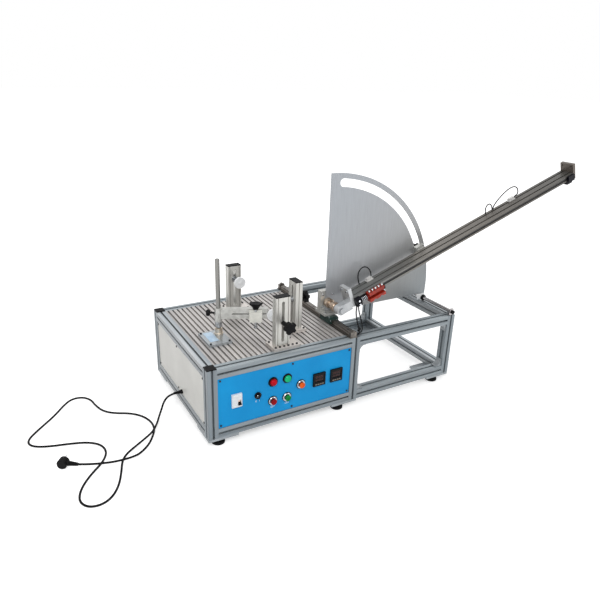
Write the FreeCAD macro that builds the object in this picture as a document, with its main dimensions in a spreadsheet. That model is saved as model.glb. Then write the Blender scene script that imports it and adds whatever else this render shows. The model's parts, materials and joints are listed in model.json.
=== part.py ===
import FreeCAD, Part
import math
import os

import Sketcher
from FreeCAD import Placement, Rotation, Vector

# Cord reel endurance tester. Millimetres, +Z up, X to the right along the front, Y to the back.
# Pieces are drawn from the frame's front left lower corner, and placed about the part's origin at the end.

doc = FreeCAD.newDocument("cord_reel_endurance_tester")
sheet = doc.addObject("Spreadsheet::Sheet", "Sizes")


class Size:
    """A number together with the sheet expression that it comes from."""

    def __init__(self, number, text):
        self.number = float(number)
        self.text = text

    @staticmethod
    def of(value):
        if isinstance(value, Size):
            return value
        return Size(value, f"({float(value)})")

    def __add__(self, other):
        other = Size.of(other)
        return Size(self.number + other.number, f"({self.text} + {other.text})")

    def __sub__(self, other):
        other = Size.of(other)
        return Size(self.number - other.number, f"({self.text} - {other.text})")

    def __mul__(self, other):
        other = Size.of(other)
        return Size(self.number * other.number, f"({self.text} * {other.text})")

    def __truediv__(self, other):
        other = Size.of(other)
        return Size(self.number / other.number, f"({self.text} / {other.text})")

    def __radd__(self, other):
        return Size.of(other) + self

    def __rsub__(self, other):
        return Size.of(other) - self

    def __rmul__(self, other):
        return Size.of(other) * self

    def __neg__(self):
        return Size(-self.number, f"(-1 * {self.text})")


used_rows = 0


def size(alias, number):
    """Write one driving dimension to the sheet and return it."""
    global used_rows
    used_rows += 1
    sheet.set(f"A{used_rows}", alias)
    sheet.set(f"B{used_rows}", str(number))
    sheet.setAlias(f"B{used_rows}", alias)
    return Size(number, f"Sizes.{alias}")


# Place of the frame about the part's origin
frame_left = size("frame_left", -991.9)
frame_front = size("frame_front", -312.35)
foot_lift = size("foot_lift", 25.0)
foot_plate_thickness = size("foot_plate_thickness", 10.0)
frame_lift = foot_lift + foot_plate_thickness

# Frame of slotted extrusion
profile = size("profile", 40.0)
slot_mouth = size("slot_mouth", 8.2)
slot_lip = size("slot_lip", 3.5)
slot_inner = size("slot_inner", 16.0)
slot_depth = size("slot_depth", 11.0)
frame_width = size("frame_width", 1180.0)
frame_depth = size("frame_depth", 632.0)
frame_height = size("frame_height", 290.0)
mid_post_x = size("mid_post_x", 624.0)
cap_thickness = size("cap_thickness", 3.5)
gusset_leg = size("gusset_leg", 34.0)
gusset_width = size("gusset_width", 30.0)
gusset_wall = size("gusset_wall", 5.0)
seat_gap = size("seat_gap", 0.3)

# Feet
foot_plate_side = size("foot_plate_side", 122.0)
foot_radius = size("foot_radius", 26.0)
foot_cup_height = size("foot_cup_height", 12.0)
foot_inset_y = size("foot_inset_y", 28.0)
left_foot_inset = size("left_foot_inset", 48.0)
mid_foot_inset = size("mid_foot_inset", 80.0)
right_foot_inset = size("right_foot_inset", 70.0)

# Panels
panel_thickness = size("panel_thickness", 3.0)
panel_setback = size("panel_setback", 3.0)
panel_screw_radius = size("panel_screw_radius", 4.0)
panel_screw_inset = size("panel_screw_inset", 10.5)
mid_screw_x = size("mid_screw_x", 351.0)

# Controls on the blue panel
breaker_x = size("breaker_x", 114.0)
breaker_z = size("breaker_z", 144.0)
breaker_width = size("breaker_width", 41.0)
breaker_height = size("breaker_height", 55.0)
breaker_proud = size("breaker_proud", 8.0)
selector_x = size("selector_x", 202.0)
selector_z = size("selector_z", 140.0)
selector_radius = size("selector_radius", 12.0)
lamp_x = size("lamp_x", 266.0)
lamp_z = size("lamp_z", 182.0)
control_pitch = size("control_pitch", 62.0)
button_drop = size("button_drop", 83.0)
orange_drop = size("orange_drop", 42.0)
bezel_radius = size("bezel_radius", 18.0)
lens_radius = size("lens_radius", 14.0)
cap_radius = size("cap_radius", 12.0)
button_travel = size("button_travel", 4.0)
counter_side = size("counter_side", 56.0)
counter_z = size("counter_z", 142.0)
first_counter_x = size("first_counter_x", 473.0)
second_counter_x = size("second_counter_x", 554.0)

# Inside the cabinet
module_front = size("module_front", 200.0)
supply_left = size("supply_left", 100.0)
supply_width = size("supply_width", 98.0)
supply_length = size("supply_length", 160.0)
supply_height = size("supply_height", 42.0)
controller_left = size("controller_left", 280.0)
controller_width = size("controller_width", 130.0)
controller_length = size("controller_length", 90.0)
controller_height = size("controller_height", 70.0)
relay_left = size("relay_left", 440.0)
relay_width = size("relay_width", 60.0)
relay_height = size("relay_height", 80.0)
terminal_count = 8
terminal_left = size("terminal_left", 110.0)
terminal_front = size("terminal_front", 420.0)
terminal_width = size("terminal_width", 14.0)
terminal_pitch = size("terminal_pitch", 14.4)
terminal_length = size("terminal_length", 45.0)
terminal_height = size("terminal_height", 40.0)
terminal_rail_width = size("terminal_rail_width", 15.0)
terminal_rail_height = size("terminal_rail_height", 6.0)

# Worktable
plank_count = 7
slots_per_plank = 4
plank_gap = size("plank_gap", 0.4)
plank_thickness = size("plank_thickness", 15.0)
table_slot_mouth = size("table_slot_mouth", 8.0)
table_slot_lip = size("table_slot_lip", 4.5)
table_slot_inner = size("table_slot_inner", 13.0)
table_slot_depth = size("table_slot_depth", 9.5)
table_beam_height = size("table_beam_height", 30.0)
table_beam_width = size("table_beam_width", 40.0)

# Traverse: rail, block, plate, upright and guide rod
pivot_offset = size("pivot_offset", 6.0)
pivot_rise = size("pivot_rise", 82.0)
pivot_x = mid_post_x + pivot_offset
pivot_z = frame_height + pivot_rise
rail_strip_width = size("rail_strip_width", 34.0)
rail_strip_height = size("rail_strip_height", 4.0)
rail_width = size("rail_width", 20.0)
rail_height = size("rail_height", 17.0)
rail_inset = size("rail_inset", 16.0)
stop_length = size("stop_length", 14.0)
stop_rise = size("stop_rise", 4.0)
block_length = size("block_length", 75.0)
block_width = size("block_width", 44.0)
block_front = size("block_front", 150.0)
block_head = size("block_head", 12.0)
running_gap = size("running_gap", 0.4)
carriage_plate_width = size("carriage_plate_width", 66.0)
carriage_plate_length = size("carriage_plate_length", 78.0)
carriage_plate_front = size("carriage_plate_front", 172.0)
carriage_plate_thickness = size("carriage_plate_thickness", 10.0)
upright_width = size("upright_width", 64.0)
upright_depth = size("upright_depth", 26.0)
upright_rise = size("upright_rise", 90.0)
quadrant_front = size("quadrant_front", 205.0)
quadrant_thickness = size("quadrant_thickness", 5.0)
quadrant_margin = size("quadrant_margin", 5.0)
quadrant_radius = frame_width - pivot_x - quadrant_margin
quadrant_left = size("quadrant_left", 11.0)
quadrant_below = size("quadrant_below", 46.0)
arc_slot_inset = size("arc_slot_inset", 38.0)
arc_slot_radius = quadrant_radius - arc_slot_inset
arc_slot_width = size("arc_slot_width", 34.0)
arc_slot_start = size("arc_slot_start", 13.5)
arc_slot_end = size("arc_slot_end", 84.5)
guide_rod_inset = size("guide_rod_inset", 20.0)
guide_rod_x = frame_width - guide_rod_inset
guide_rod_rise = size("guide_rod_rise", 17.0)
guide_rod_radius = size("guide_rod_radius", 8.0)
guide_rod_overhang = size("guide_rod_overhang", 8.0)
rod_support_width = size("rod_support_width", 24.0)
rod_support_length = size("rod_support_length", 10.0)
rod_support_start = size("rod_support_start", 4.0)
rod_bushing_radius = size("rod_bushing_radius", 14.0)
rod_bushing_length = size("rod_bushing_length", 38.0)
rod_bushing_start = size("rod_bushing_start", 190.0)
rod_bushing_lip = size("rod_bushing_lip", 9.0)
rod_flange_radius = size("rod_flange_radius", 17.0)
rod_flange_thickness = size("rod_flange_thickness", 5.0)
rod_bracket_width = size("rod_bracket_width", 36.0)
rod_bracket_thickness = size("rod_bracket_thickness", 6.0)
rod_bracket_rise = size("rod_bracket_rise", 58.0)

# Pivot and arm, drawn along the arm: u along it, y across, n upwards from the pivot's axis
arm_tilt = size("arm_tilt", 19.2)
pivot_radius = size("pivot_radius", 8.0)
shaft_gap = size("shaft_gap", 0.05)
bushing_radius = size("bushing_radius", 21.0)
bushing_neck = size("bushing_neck", 14.0)
bushing_ring = size("bushing_ring", 20.0)
bushing_front = size("bushing_front", 134.0)
hinge_bar_front = size("hinge_bar_front", 98.0)
hinge_bar_depth = size("hinge_bar_depth", 30.0)
hinge_bar_radius = size("hinge_bar_radius", 20.0)
arm_plate_start = size("arm_plate_start", 53.0)
arm_plate_thickness = size("arm_plate_thickness", 16.0)
arm_plate_front = size("arm_plate_front", 100.0)
arm_plate_depth = size("arm_plate_depth", 60.0)
arm_plate_low = size("arm_plate_low", -10.0)
arm_plate_rise = size("arm_plate_rise", 83.0)
arm_plate_hole_inset = size("arm_plate_hole_inset", 12.0)
end_plate_rise = size("end_plate_rise", 76.0)
beam_length = size("beam_length", 1345.0)
beam_front = size("beam_front", 102.0)
beam_width = size("beam_width", 72.0)
beam_low = size("beam_low", -5.0)
beam_thickness = size("beam_thickness", 29.0)
channel_height = size("channel_height", 12.0)
channel_depth = size("channel_depth", 34.0)
pulley_radius = size("pulley_radius", 12.0)
belt_thickness = size("belt_thickness", 1.6)
belt_width = size("belt_width", 8.0)
drive_pulley_u = size("drive_pulley_u", 100.0)
idler_setback = size("idler_setback", 26.0)
gripper_start = size("gripper_start", 132.0)
gripper_length = size("gripper_length", 82.0)
gripper_depth = size("gripper_depth", 24.0)
gripper_low = size("gripper_low", -23.0)
gripper_height = size("gripper_height", 42.0)
gripper_wall = size("gripper_wall", 9.0)
jaw_thickness = size("jaw_thickness", 8.0)
jaw_opening = size("jaw_opening", 14.0)
gripper_screw_count = 5
clamp_block_height = size("clamp_block_height", 48.0)
clamp_stud_radius = size("clamp_stud_radius", 8.0)
drive_depth = size("drive_depth", 20.0)
drive_low = size("drive_low", -14.0)
drive_height = size("drive_height", 34.0)
drive_fitting_radius = size("drive_fitting_radius", 4.5)
drive_fitting_length = size("drive_fitting_length", 5.0)
housing_length = size("housing_length", 42.0)
housing_depth = size("housing_depth", 10.0)
housing_drop = size("housing_drop", 4.0)
tip_stop_length = size("tip_stop_length", 34.0)
tip_stop_depth = size("tip_stop_depth", 26.0)
tip_stop_drop = size("tip_stop_drop", 20.0)
near_sensor_u = size("near_sensor_u", 180.0)
near_sensor_length = size("near_sensor_length", 34.0)
far_sensor_u = size("far_sensor_u", 1030.0)
far_sensor_length = size("far_sensor_length", 42.0)
sensor_inset = size("sensor_inset", 4.0)
sensor_foot_depth = size("sensor_foot_depth", 18.0)
sensor_foot_thickness = size("sensor_foot_thickness", 3.0)
sensor_head_side = size("sensor_head_side", 12.0)
gripper_screw_radius = size("gripper_screw_radius", 3.4)

# Round post stand
post_x = size("post_x", 152.0)
post_y = size("post_y", 256.0)
post_radius = size("post_radius", 9.0)
post_height = size("post_height", 314.0)
stand_base_left = size("stand_base_left", 80.0)
stand_base_front = size("stand_base_front", 172.0)
stand_base_width = size("stand_base_width", 94.0)
stand_base_length = size("stand_base_length", 124.0)
stand_base_thickness = size("stand_base_thickness", 10.0)
foot_collar_height = size("foot_collar_height", 26.0)
collar_radius = size("collar_radius", 15.0)
stop_collar_rise = size("stop_collar_rise", 44.0)
stop_collar_z = frame_height + stop_collar_rise
stop_collar_height = size("stop_collar_height", 22.0)
sleeve_height = size("sleeve_height", 58.0)
bar_swing = size("bar_swing", -24.0)
bar_length = size("bar_length", 196.0)
bar_height = size("bar_height", 43.0)
bar_depth = size("bar_depth", 22.0)
bar_rise = size("bar_rise", 12.0)
bar_slot_height = size("bar_slot_height", 6.0)
slider_reach = size("slider_reach", 146.0)
slider_width = size("slider_width", 50.0)
slider_height = size("slider_height", 42.0)
slider_depth = size("slider_depth", 26.0)
spindle_radius = size("spindle_radius", 5.0)

# Columns
column_height = size("column_height", 198.0)
column_wide = size("column_wide", 60.0)
column_narrow = size("column_narrow", 30.0)
column_slot_width = size("column_slot_width", 12.0)
column_slot_margin = size("column_slot_margin", 22.0)
column_base_thickness = size("column_base_thickness", 12.0)
column_base_width = size("column_base_width", 112.0)
column_base_length = size("column_base_length", 76.0)
rear_column_x = size("rear_column_x", 312.0)
rear_column_y = size("rear_column_y", 474.0)
front_column_x = size("front_column_x", 329.0)
front_column_y = size("front_column_y", 62.0)
side_column_x = size("side_column_x", 462.0)
side_column_y = size("side_column_y", 190.0)
disc_radius = size("disc_radius", 25.0)
disc_thickness = size("disc_thickness", 8.0)
clamp_shaft_radius = size("clamp_shaft_radius", 5.0)
disc_reach = size("disc_reach", 58.0)
rear_shaft_rise = size("rear_shaft_rise", 152.0)
front_shaft_rise = size("front_shaft_rise", 108.0)
side_shaft_rise = size("side_shaft_rise", 134.0)
star_radius = size("star_radius", 25.0)
star_thickness = size("star_thickness", 16.0)
star_reach = size("star_reach", 46.0)

# Mains cord, gland and plug
cord_exit_y = size("cord_exit_y", 297.0)
cord_exit_z = size("cord_exit_z", 54.0)
cord_diameter = size("cord_diameter", 8.0)
gland_length = size("gland_length", 16.0)
gland_radius = size("gland_radius", 9.5)
plug_radius = size("plug_radius", 19.0)
plug_depth = size("plug_depth", 30.0)
plug_relief_length = size("plug_relief_length", 38.0)
plug_pin_radius = size("plug_pin_radius", 2.4)
plug_pin_length = size("plug_pin_length", 19.0)
plug_pin_pitch = size("plug_pin_pitch", 19.0)

doc.recompute()

# Rotations that turn a piece's own +Z to another way
TO_FRONT = Rotation(Vector(1, 0, 0), 90)
TO_BACK = Rotation(Vector(1, 0, 0), -90)
TO_LEFT = Rotation(Vector(0, 1, 0), -90)
TO_RIGHT = Rotation(Vector(0, 1, 0), 90)
UPRIGHT = Rotation()
counted = {}


def unique(name):
    """A document name for a construction piece, numbered so that none is used twice."""
    counted[name] = counted.get(name, 0) + 1
    return f"{name}_{counted[name]}"


def bind(piece, path, length):
    """Set a property of a piece from a size, and tie it to the sheet."""
    piece.setExpression(path, Size.of(length).text)


def place(piece, x, y, z, turn=UPRIGHT):
    """Put a piece's own origin at a place in its parent's frame."""
    place_of = [Size.of(value) for value in (x, y, z)]
    piece.Placement = Placement(Vector(*[value.number for value in place_of]), turn)
    for axis, value in zip("xyz", place_of):
        bind(piece, f"Placement.Base.{axis}", value)
    return piece


def box(x, y, z, dx, dy, dz):
    """A block with its lower corner at x, y, z."""
    piece = doc.addObject("Part::Box", unique("block"))
    for path, value in (("Length", dx), ("Width", dy), ("Height", dz)):
        bind(piece, path, value)
    return place(piece, x, y, z)


def rod(x, y, z, radius, length, turn=UPRIGHT):
    """A round bar that starts at x, y, z and runs along the turned +Z."""
    piece = doc.addObject("Part::Cylinder", unique("bar"))
    bind(piece, "Radius", radius)
    bind(piece, "Height", length)
    return place(piece, x, y, z, turn)


def hexagon(x, y, z, radius, height, turn=UPRIGHT):
    """A six-sided head or nut."""
    piece = doc.addObject("Part::Prism", unique("hexagon"))
    piece.Polygon = 6
    bind(piece, "Circumradius", radius)
    bind(piece, "Height", height)
    return place(piece, x, y, z, turn)


def cut(base, *tools):
    """The base with each tool taken away."""
    for tool in tools:
        piece = doc.addObject("Part::Cut", unique("cut"))
        piece.Base = base
        piece.Tool = tool
        base = piece
    return base


def fuse(*pieces):
    """Several shapes that are one solid."""
    piece = doc.addObject("Part::MultiFuse", unique("fusion"))
    piece.Shapes = list(pieces)
    piece.Refine = True
    return piece


def group(*pieces):
    """Several separate solids that share one node."""
    piece = doc.addObject("Part::Compound", unique("group"))
    piece.Links = list(pieces)
    return piece


def mirrored(source, normal, x=0.0, y=0.0, z=0.0):
    """The mirror image of a piece in the plane through x, y, z."""
    piece = doc.addObject("Part::Mirroring", unique("mirror"))
    piece.Source = source
    piece.Normal = normal
    for axis, value in zip("xyz", (x, y, z)):
        bind(piece, f"Base.{axis}", value)
    return piece


def origin_plane(body, role):
    """One of the origin planes of a body, found by its role."""
    for feature in body.Origin.OriginFeatures:
        if feature.Role == role:
            return feature
    raise ValueError(role)


def new_body():
    return doc.addObject("PartDesign::Body", unique("body"))


def new_sketch(body, role, offset=0.0):
    """A sketch on one of the body's origin planes, moved along the plane's normal."""
    sketch = body.newObject("Sketcher::SketchObject", unique("sketch"))
    sketch.AttachmentSupport = (origin_plane(body, role), [""])
    sketch.MapMode = "FlatFace"
    offset = Size.of(offset)
    sketch.AttachmentOffset = Placement(Vector(0, 0, offset.number), Rotation())
    bind(sketch, "AttachmentOffset.Base.z", offset)
    return sketch


def tie(sketch, kind, where, value):
    """Add one driving dimension to a sketch and tie it to the sheet."""
    index = sketch.addConstraint(Sketcher.Constraint(kind, *where, value.number))
    sketch.setExpression(f"Constraints[{index}]", value.text)


def draw_outline(sketch, points):
    """A closed outline of straight lines, every corner dimensioned from the sketch's origin."""
    corners = [(Size.of(across), Size.of(up)) for across, up in points]
    first = sketch.GeometryCount
    for index, (across, up) in enumerate(corners):
        next_across, next_up = corners[(index + 1) % len(corners)]
        start = Vector(across.number, up.number, 0)
        end = Vector(next_across.number, next_up.number, 0)
        sketch.addGeometry(Part.LineSegment(start, end), False)
    for index, (across, up) in enumerate(corners):
        line = first + index
        following = first + (index + 1) % len(corners)
        sketch.addConstraint(Sketcher.Constraint("Coincident", line, 2, following, 1))
        tie(sketch, "DistanceX", (-1, 1, line, 1), across)
        tie(sketch, "DistanceY", (-1, 1, line, 1), up)


def draw_circle(sketch, across, up, radius):
    """A circle dimensioned from the sketch's origin."""
    across, up, radius = Size.of(across), Size.of(up), Size.of(radius)
    centre = Vector(across.number, up.number, 0)
    circle = sketch.addGeometry(Part.Circle(centre, Vector(0, 0, 1), radius.number), False)
    tie(sketch, "Radius", (circle,), radius)
    tie(sketch, "DistanceX", (-1, 1, circle, 3), across)
    tie(sketch, "DistanceY", (-1, 1, circle, 3), up)


def add_pad(body, sketch, length, backwards=False):
    pad = body.newObject("PartDesign::Pad", unique("pad"))
    pad.Profile = sketch
    bind(pad, "Length", length)
    pad.Reversed = backwards
    sketch.Visibility = False
    return pad


def prism(role, start, length, outline, circles=(), backwards=False):
    """A body padded from one sketch: an outline with round holes in it."""
    body = new_body()
    sketch = new_sketch(body, role, start)
    draw_outline(sketch, outline)
    for across, up, radius in circles:
        draw_circle(sketch, across, up, radius)
    add_pad(body, sketch, length, backwards)
    return body


def turned(profile_points):
    """A body of revolution about its own Z axis, from points of radius and height."""
    body = new_body()
    sketch = new_sketch(body, "XZ_Plane")
    draw_outline(sketch, profile_points)
    revolution = body.newObject("PartDesign::Revolution", unique("revolution"))
    revolution.Profile = sketch
    revolution.ReferenceAxis = (sketch, ["V_Axis"])
    revolution.Angle = 360.0
    return body


def rectangle(left, low, width, height):
    """The four corners of an upright rectangle."""
    left, low = Size.of(left), Size.of(low)
    return [(left, low), (left + width, low), (left + width, low + height), (left, low + height)]


kept = []


def keep(label, piece, x=0.0, y=0.0, z=0.0, turn=UPRIGHT):
    """Name a finished sub-part and place it in the part's own frame."""
    piece.Label = label
    place(piece, frame_left + x, frame_front + y, frame_lift + z, turn)
    kept.append(piece)
    return piece


TILT = Rotation(Vector(0, 1, 0), -arm_tilt.number)


def keep_on_arm(label, piece):
    """Name a sub-part that is drawn along the arm and tilt it about the pivot."""
    return keep(label, piece, pivot_x, 0.0, pivot_z, TILT)


# Frame


def slotted_outline(left, low, width, height):
    """The section of a slotted extrusion, one T-slot in the middle of each 40 or narrower face."""
    mouth, inner = slot_mouth / 2, slot_inner / 2
    sides = (
        (Size.of(left), Size.of(low), width, (1, 0), (0, 1)),
        (Size.of(left) + width, Size.of(low), height, (0, 1), (-1, 0)),
        (Size.of(left) + width, Size.of(low) + height, width, (-1, 0), (0, -1)),
        (Size.of(left), Size.of(low) + height, height, (0, -1), (1, 0)),
    )
    points = []
    for start_x, start_y, run, along, inward in sides:
        middle = Size.of(run) / 2
        steps = (
            (0.0, 0.0),
            (middle - mouth, 0.0),
            (middle - mouth, slot_lip),
            (middle - inner, slot_lip),
            (middle - mouth, slot_depth),
            (middle + mouth, slot_depth),
            (middle + inner, slot_lip),
            (middle + mouth, slot_lip),
            (middle + mouth, 0.0),
        )
        for run_by, in_by in steps:
            points.append(
                (
                    start_x + run_by * Size.of(along[0]) + in_by * Size.of(inward[0]),
                    start_y + run_by * Size.of(along[1]) + in_by * Size.of(inward[1]),
                )
            )
    return points


def make_post(x):
    return prism("XY_Plane", 0.0, frame_height, slotted_outline(x, 0.0, profile, profile))


def make_long_rail(start, end, z):
    return prism("YZ_Plane", start, end - start, slotted_outline(0.0, z, profile, profile))


def make_cross_rail(x, z):
    outline = slotted_outline(x, z, profile, profile)
    return prism("XZ_Plane", -profile, frame_depth - 2 * profile, outline, backwards=True)


right_post_x = frame_width - profile
mid_post_end = mid_post_x + profile
upper_z = frame_height - profile


def front_and_back(piece):
    return group(piece, mirrored(piece, Vector(0, 1, 0), y=frame_depth / 2))


keep("frame_posts", front_and_back(group(*[make_post(x) for x in (0.0, mid_post_x, right_post_x)])))
long_rails = []
cross_rails = []
for rail_z in (Size.of(0.0), upper_z):
    long_rails.append(make_long_rail(profile, mid_post_x, rail_z))
    long_rails.append(make_long_rail(mid_post_end, right_post_x, rail_z))
    cross_rails += [make_cross_rail(x, rail_z) for x in (0.0, mid_post_x, right_post_x)]
keep("long_rails", front_and_back(group(*long_rails)))
keep("cross_rails", group(*cross_rails))


def make_gusset():
    """A die-cast bracket in the lower left corner of the open bay, hollowed by a round."""
    side = (profile - gusset_width) / 2
    leg_low = box(mid_post_end, side, profile, gusset_leg, gusset_width, gusset_wall)
    leg_high = box(mid_post_end, side, profile, gusset_wall, gusset_width, gusset_leg)
    web = box(mid_post_end, side, profile, gusset_leg, gusset_width, gusset_leg)
    hollow = rod(mid_post_end + gusset_leg, side - 1, profile + gusset_leg,
                 gusset_leg - gusset_wall * 0.6, gusset_width + 2, TO_BACK)
    return fuse(leg_low, leg_high, cut(web, hollow))


low_gusset = make_gusset()
left_gussets = group(low_gusset, mirrored(low_gusset, Vector(0, 0, 1), z=frame_height / 2))
bay_middle = (mid_post_end + right_post_x) / 2
bay_gussets = group(left_gussets, mirrored(left_gussets, Vector(1, 0, 0), x=bay_middle))
keep("corner_gussets", front_and_back(bay_gussets))

# Feet: a plate under each corner and middle post, and a cup foot on a threaded stem

foot_plates = []
feet = []
for foot_x, plate_x in (
    (left_foot_inset, Size.of(0.0)),
    (mid_post_end - mid_foot_inset, mid_post_end - foot_plate_side),
    (frame_width - right_foot_inset, frame_width - foot_plate_side),
):
    foot_plates.append(
        box(plate_x, 0.0, -foot_plate_thickness, foot_plate_side, foot_plate_side, foot_plate_thickness)
    )
    foot = turned(
        [
            (0.0, 0.0),
            (foot_radius - 2, 0.0),
            (foot_radius, 2.0),
            (foot_radius, foot_cup_height - 3),
            (foot_radius - 5, foot_cup_height),
            (11.0, foot_cup_height + 1),
            (11.0, foot_lift),
            (0.0, foot_lift),
        ]
    )
    feet.append(place(foot, foot_x, foot_inset_y, -frame_lift))
keep("foot_plates", front_and_back(group(*foot_plates)))
keep("leveling_feet", front_and_back(group(*feet)))

# Cabinet panels

opening_width = mid_post_x - profile
opening_depth = frame_depth - 2 * profile
opening_height = frame_height - 2 * profile


def upright_sheet(x, y, dx, dy):
    """A panel that fills an opening of the frame with the seat gap all round."""
    height = opening_height - 2 * seat_gap
    return box(x, y, profile + seat_gap, dx, dy, height)


rear_panel = upright_sheet(profile + seat_gap, frame_depth - panel_setback - panel_thickness,
                           opening_width - 2 * seat_gap, panel_thickness)
side_y = profile + seat_gap
side_length = opening_depth - 2 * seat_gap
gland_hole = rod(panel_setback - 1, cord_exit_y, cord_exit_z, gland_radius - 2, panel_thickness + 2, TO_RIGHT)
side_panel = cut(upright_sheet(panel_setback, side_y, panel_thickness, side_length), gland_hole)
partition = upright_sheet(mid_post_x + panel_thickness * 2, side_y, panel_thickness, side_length)
bottom_pan = box(profile + seat_gap, side_y, profile - panel_thickness,
                 opening_width - 2 * seat_gap, side_length, panel_thickness)
keep("cabinet_panels", group(side_panel, rear_panel, partition, bottom_pan))

# Control panel: a plate with a hole for each control behind it

panel_face = panel_setback
panel_width = opening_width - 2 * seat_gap
panel_height = opening_height - 2 * seat_gap
stem_radius = bezel_radius * 0.6
column_xs = (lamp_x, lamp_x + control_pitch, lamp_x + 2 * control_pitch)
button_places = (
    (column_xs[0], lamp_z - button_drop),
    (column_xs[1], lamp_z - button_drop),
    (column_xs[2], lamp_z - orange_drop),
)
lamp_places = ((column_xs[0], lamp_z), (column_xs[1], lamp_z))
panel_holes = [(x, z, stem_radius + seat_gap) for x, z in button_places + lamp_places]
panel_holes.append((selector_x, selector_z, selector_radius * 0.6 + seat_gap))
control_panel = prism(
    "XZ_Plane",
    -panel_face,
    panel_thickness,
    rectangle(profile + seat_gap, profile + seat_gap, panel_width, panel_height),
    panel_holes,
    backwards=True,
)
keep("control_panel", control_panel)

screw_inset = panel_screw_inset
screw_xs = (profile + screw_inset, mid_screw_x, mid_post_x - screw_inset)
screw_zs = (profile + screw_inset, frame_height - profile - screw_inset)
panel_screws = []
for screw_x in screw_xs:
    for screw_z in screw_zs:
        panel_screws.append(rod(screw_x, panel_face, screw_z, panel_screw_radius, 2.4, TO_FRONT))
side_screw_ys = (profile + screw_inset, frame_depth / 2 + 24, frame_depth - profile - screw_inset)
for screw_y in side_screw_ys:
    for screw_z in screw_zs:
        panel_screws.append(rod(panel_setback, screw_y, screw_z, panel_screw_radius, 2.4, TO_LEFT))
keep("panel_screws", group(*panel_screws))

# Controls

breaker_left = breaker_x - breaker_width / 2
breaker_low = breaker_z - breaker_height / 2
lever_width = breaker_width * 0.28
lever_x = breaker_x + breaker_width / 2 - lever_width - 5
breaker_case = box(breaker_left, panel_face - breaker_proud, breaker_low,
                   breaker_width, breaker_proud, breaker_height)
lever_slot = box(lever_x - 0.5, panel_face - breaker_proud - 1, breaker_low + 6,
                 lever_width + 1, breaker_proud, breaker_height * 0.42)
keep("breaker_body", cut(breaker_case, lever_slot))
lever_axis_z = breaker_low + 6 + breaker_height * 0.21
lever_axis_y = panel_face - breaker_proud * 0.55
lever_hub = rod(0.0, 0.0, 0.0, 3.0, lever_width, TO_RIGHT)
lever_tab = box(0.0, -12.0, -2.5, lever_width, 12.0, 5.0)
switched_off = Rotation(Vector(1, 0, 0), 30)
keep("breaker_lever", fuse(lever_hub, lever_tab), lever_x, lever_axis_y, lever_axis_z, switched_off)

bezel_rise = 6.0
button_stem = cap_radius * 0.66


def ring_profile(outer, inner, rise, stem, depth):
    """A bezel ring on a stem that goes through the panel."""
    return [
        (inner, -depth),
        (stem, -depth),
        (stem, 0.0),
        (outer, 0.0),
        (outer, rise - 2),
        (outer - 2, rise),
        (inner, rise),
    ]


bezel_depth = panel_thickness + 14
bezels = []
for bezel_x, bezel_z in button_places:
    ring = turned(ring_profile(bezel_radius, button_stem + seat_gap, bezel_rise, stem_radius, bezel_depth))
    bezels.append(place(ring, bezel_x, panel_face, bezel_z, TO_FRONT))
for bezel_x, bezel_z in lamp_places:
    ring = turned(ring_profile(bezel_radius, cap_radius * 0.6, 4.0, stem_radius, bezel_depth))
    bezels.append(place(ring, bezel_x, panel_face, bezel_z, TO_FRONT))
selector_stem = selector_radius * 0.45
ring = turned(ring_profile(selector_radius, selector_stem, 4.0, selector_radius * 0.6, bezel_depth))
bezels.append(place(ring, selector_x, panel_face, selector_z, TO_FRONT))
keep("switch_bezels", group(*bezels))


def make_button():
    """A round push button cap with a stem that runs in its bezel."""
    return turned(
        [
            (0.0, -panel_thickness - 8),
            (button_stem, -panel_thickness - 8),
            (button_stem, bezel_rise + button_travel + 0.6),
            (cap_radius, bezel_rise + button_travel + 0.6),
            (cap_radius, bezel_rise + button_travel + 4),
            (cap_radius - 1.5, bezel_rise + button_travel + 5.5),
            (0.0, bezel_rise + button_travel + 5.5),
        ]
    )


for button_label, (button_x, button_z) in zip(("red_button", "green_button", "orange_button"), button_places):
    keep(button_label, make_button(), button_x, panel_face, button_z, TO_FRONT)
for lens_label, (lens_x, lens_z) in zip(("red_lamp_lens", "green_lamp_lens"), lamp_places):
    lens = turned(
        [
            (0.0, 4.0),
            (lens_radius, 4.0),
            (lens_radius, 9.0),
            (lens_radius - 3, 12.5),
            (0.0, 13.5),
        ]
    )
    keep(lens_label, lens, lens_x, panel_face, lens_z, TO_FRONT)

knob_barrel = turned(
    [
        (0.0, -10.0),
        (selector_stem - seat_gap, -10.0),
        (selector_stem - seat_gap, 4.4),
        (selector_radius * 0.8, 4.4),
        (selector_radius * 0.75, 8.0),
        (0.0, 8.0),
    ]
)
knob_grip = box(-2.2, -selector_radius * 0.72, 7.0, 4.4, selector_radius * 1.44, 8.0)
keep("selector_knob", fuse(knob_barrel, knob_grip), selector_x, panel_face, selector_z, TO_FRONT)

counters = []
for counter_x in (first_counter_x, second_counter_x):
    frame_block = box(counter_x - counter_side / 2, panel_face - 7, counter_z - counter_side / 2,
                      counter_side, 7.0, counter_side)
    window = box(counter_x - counter_side * 0.39, panel_face - 8, counter_z - counter_side * 0.18,
                 counter_side * 0.78, 3.0, counter_side * 0.56)
    counters.append(cut(frame_block, window))
keep("counter_displays", group(*counters))

# Inside the cabinet: power supply, controller with its relay block, and terminal strip on the pan

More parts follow.
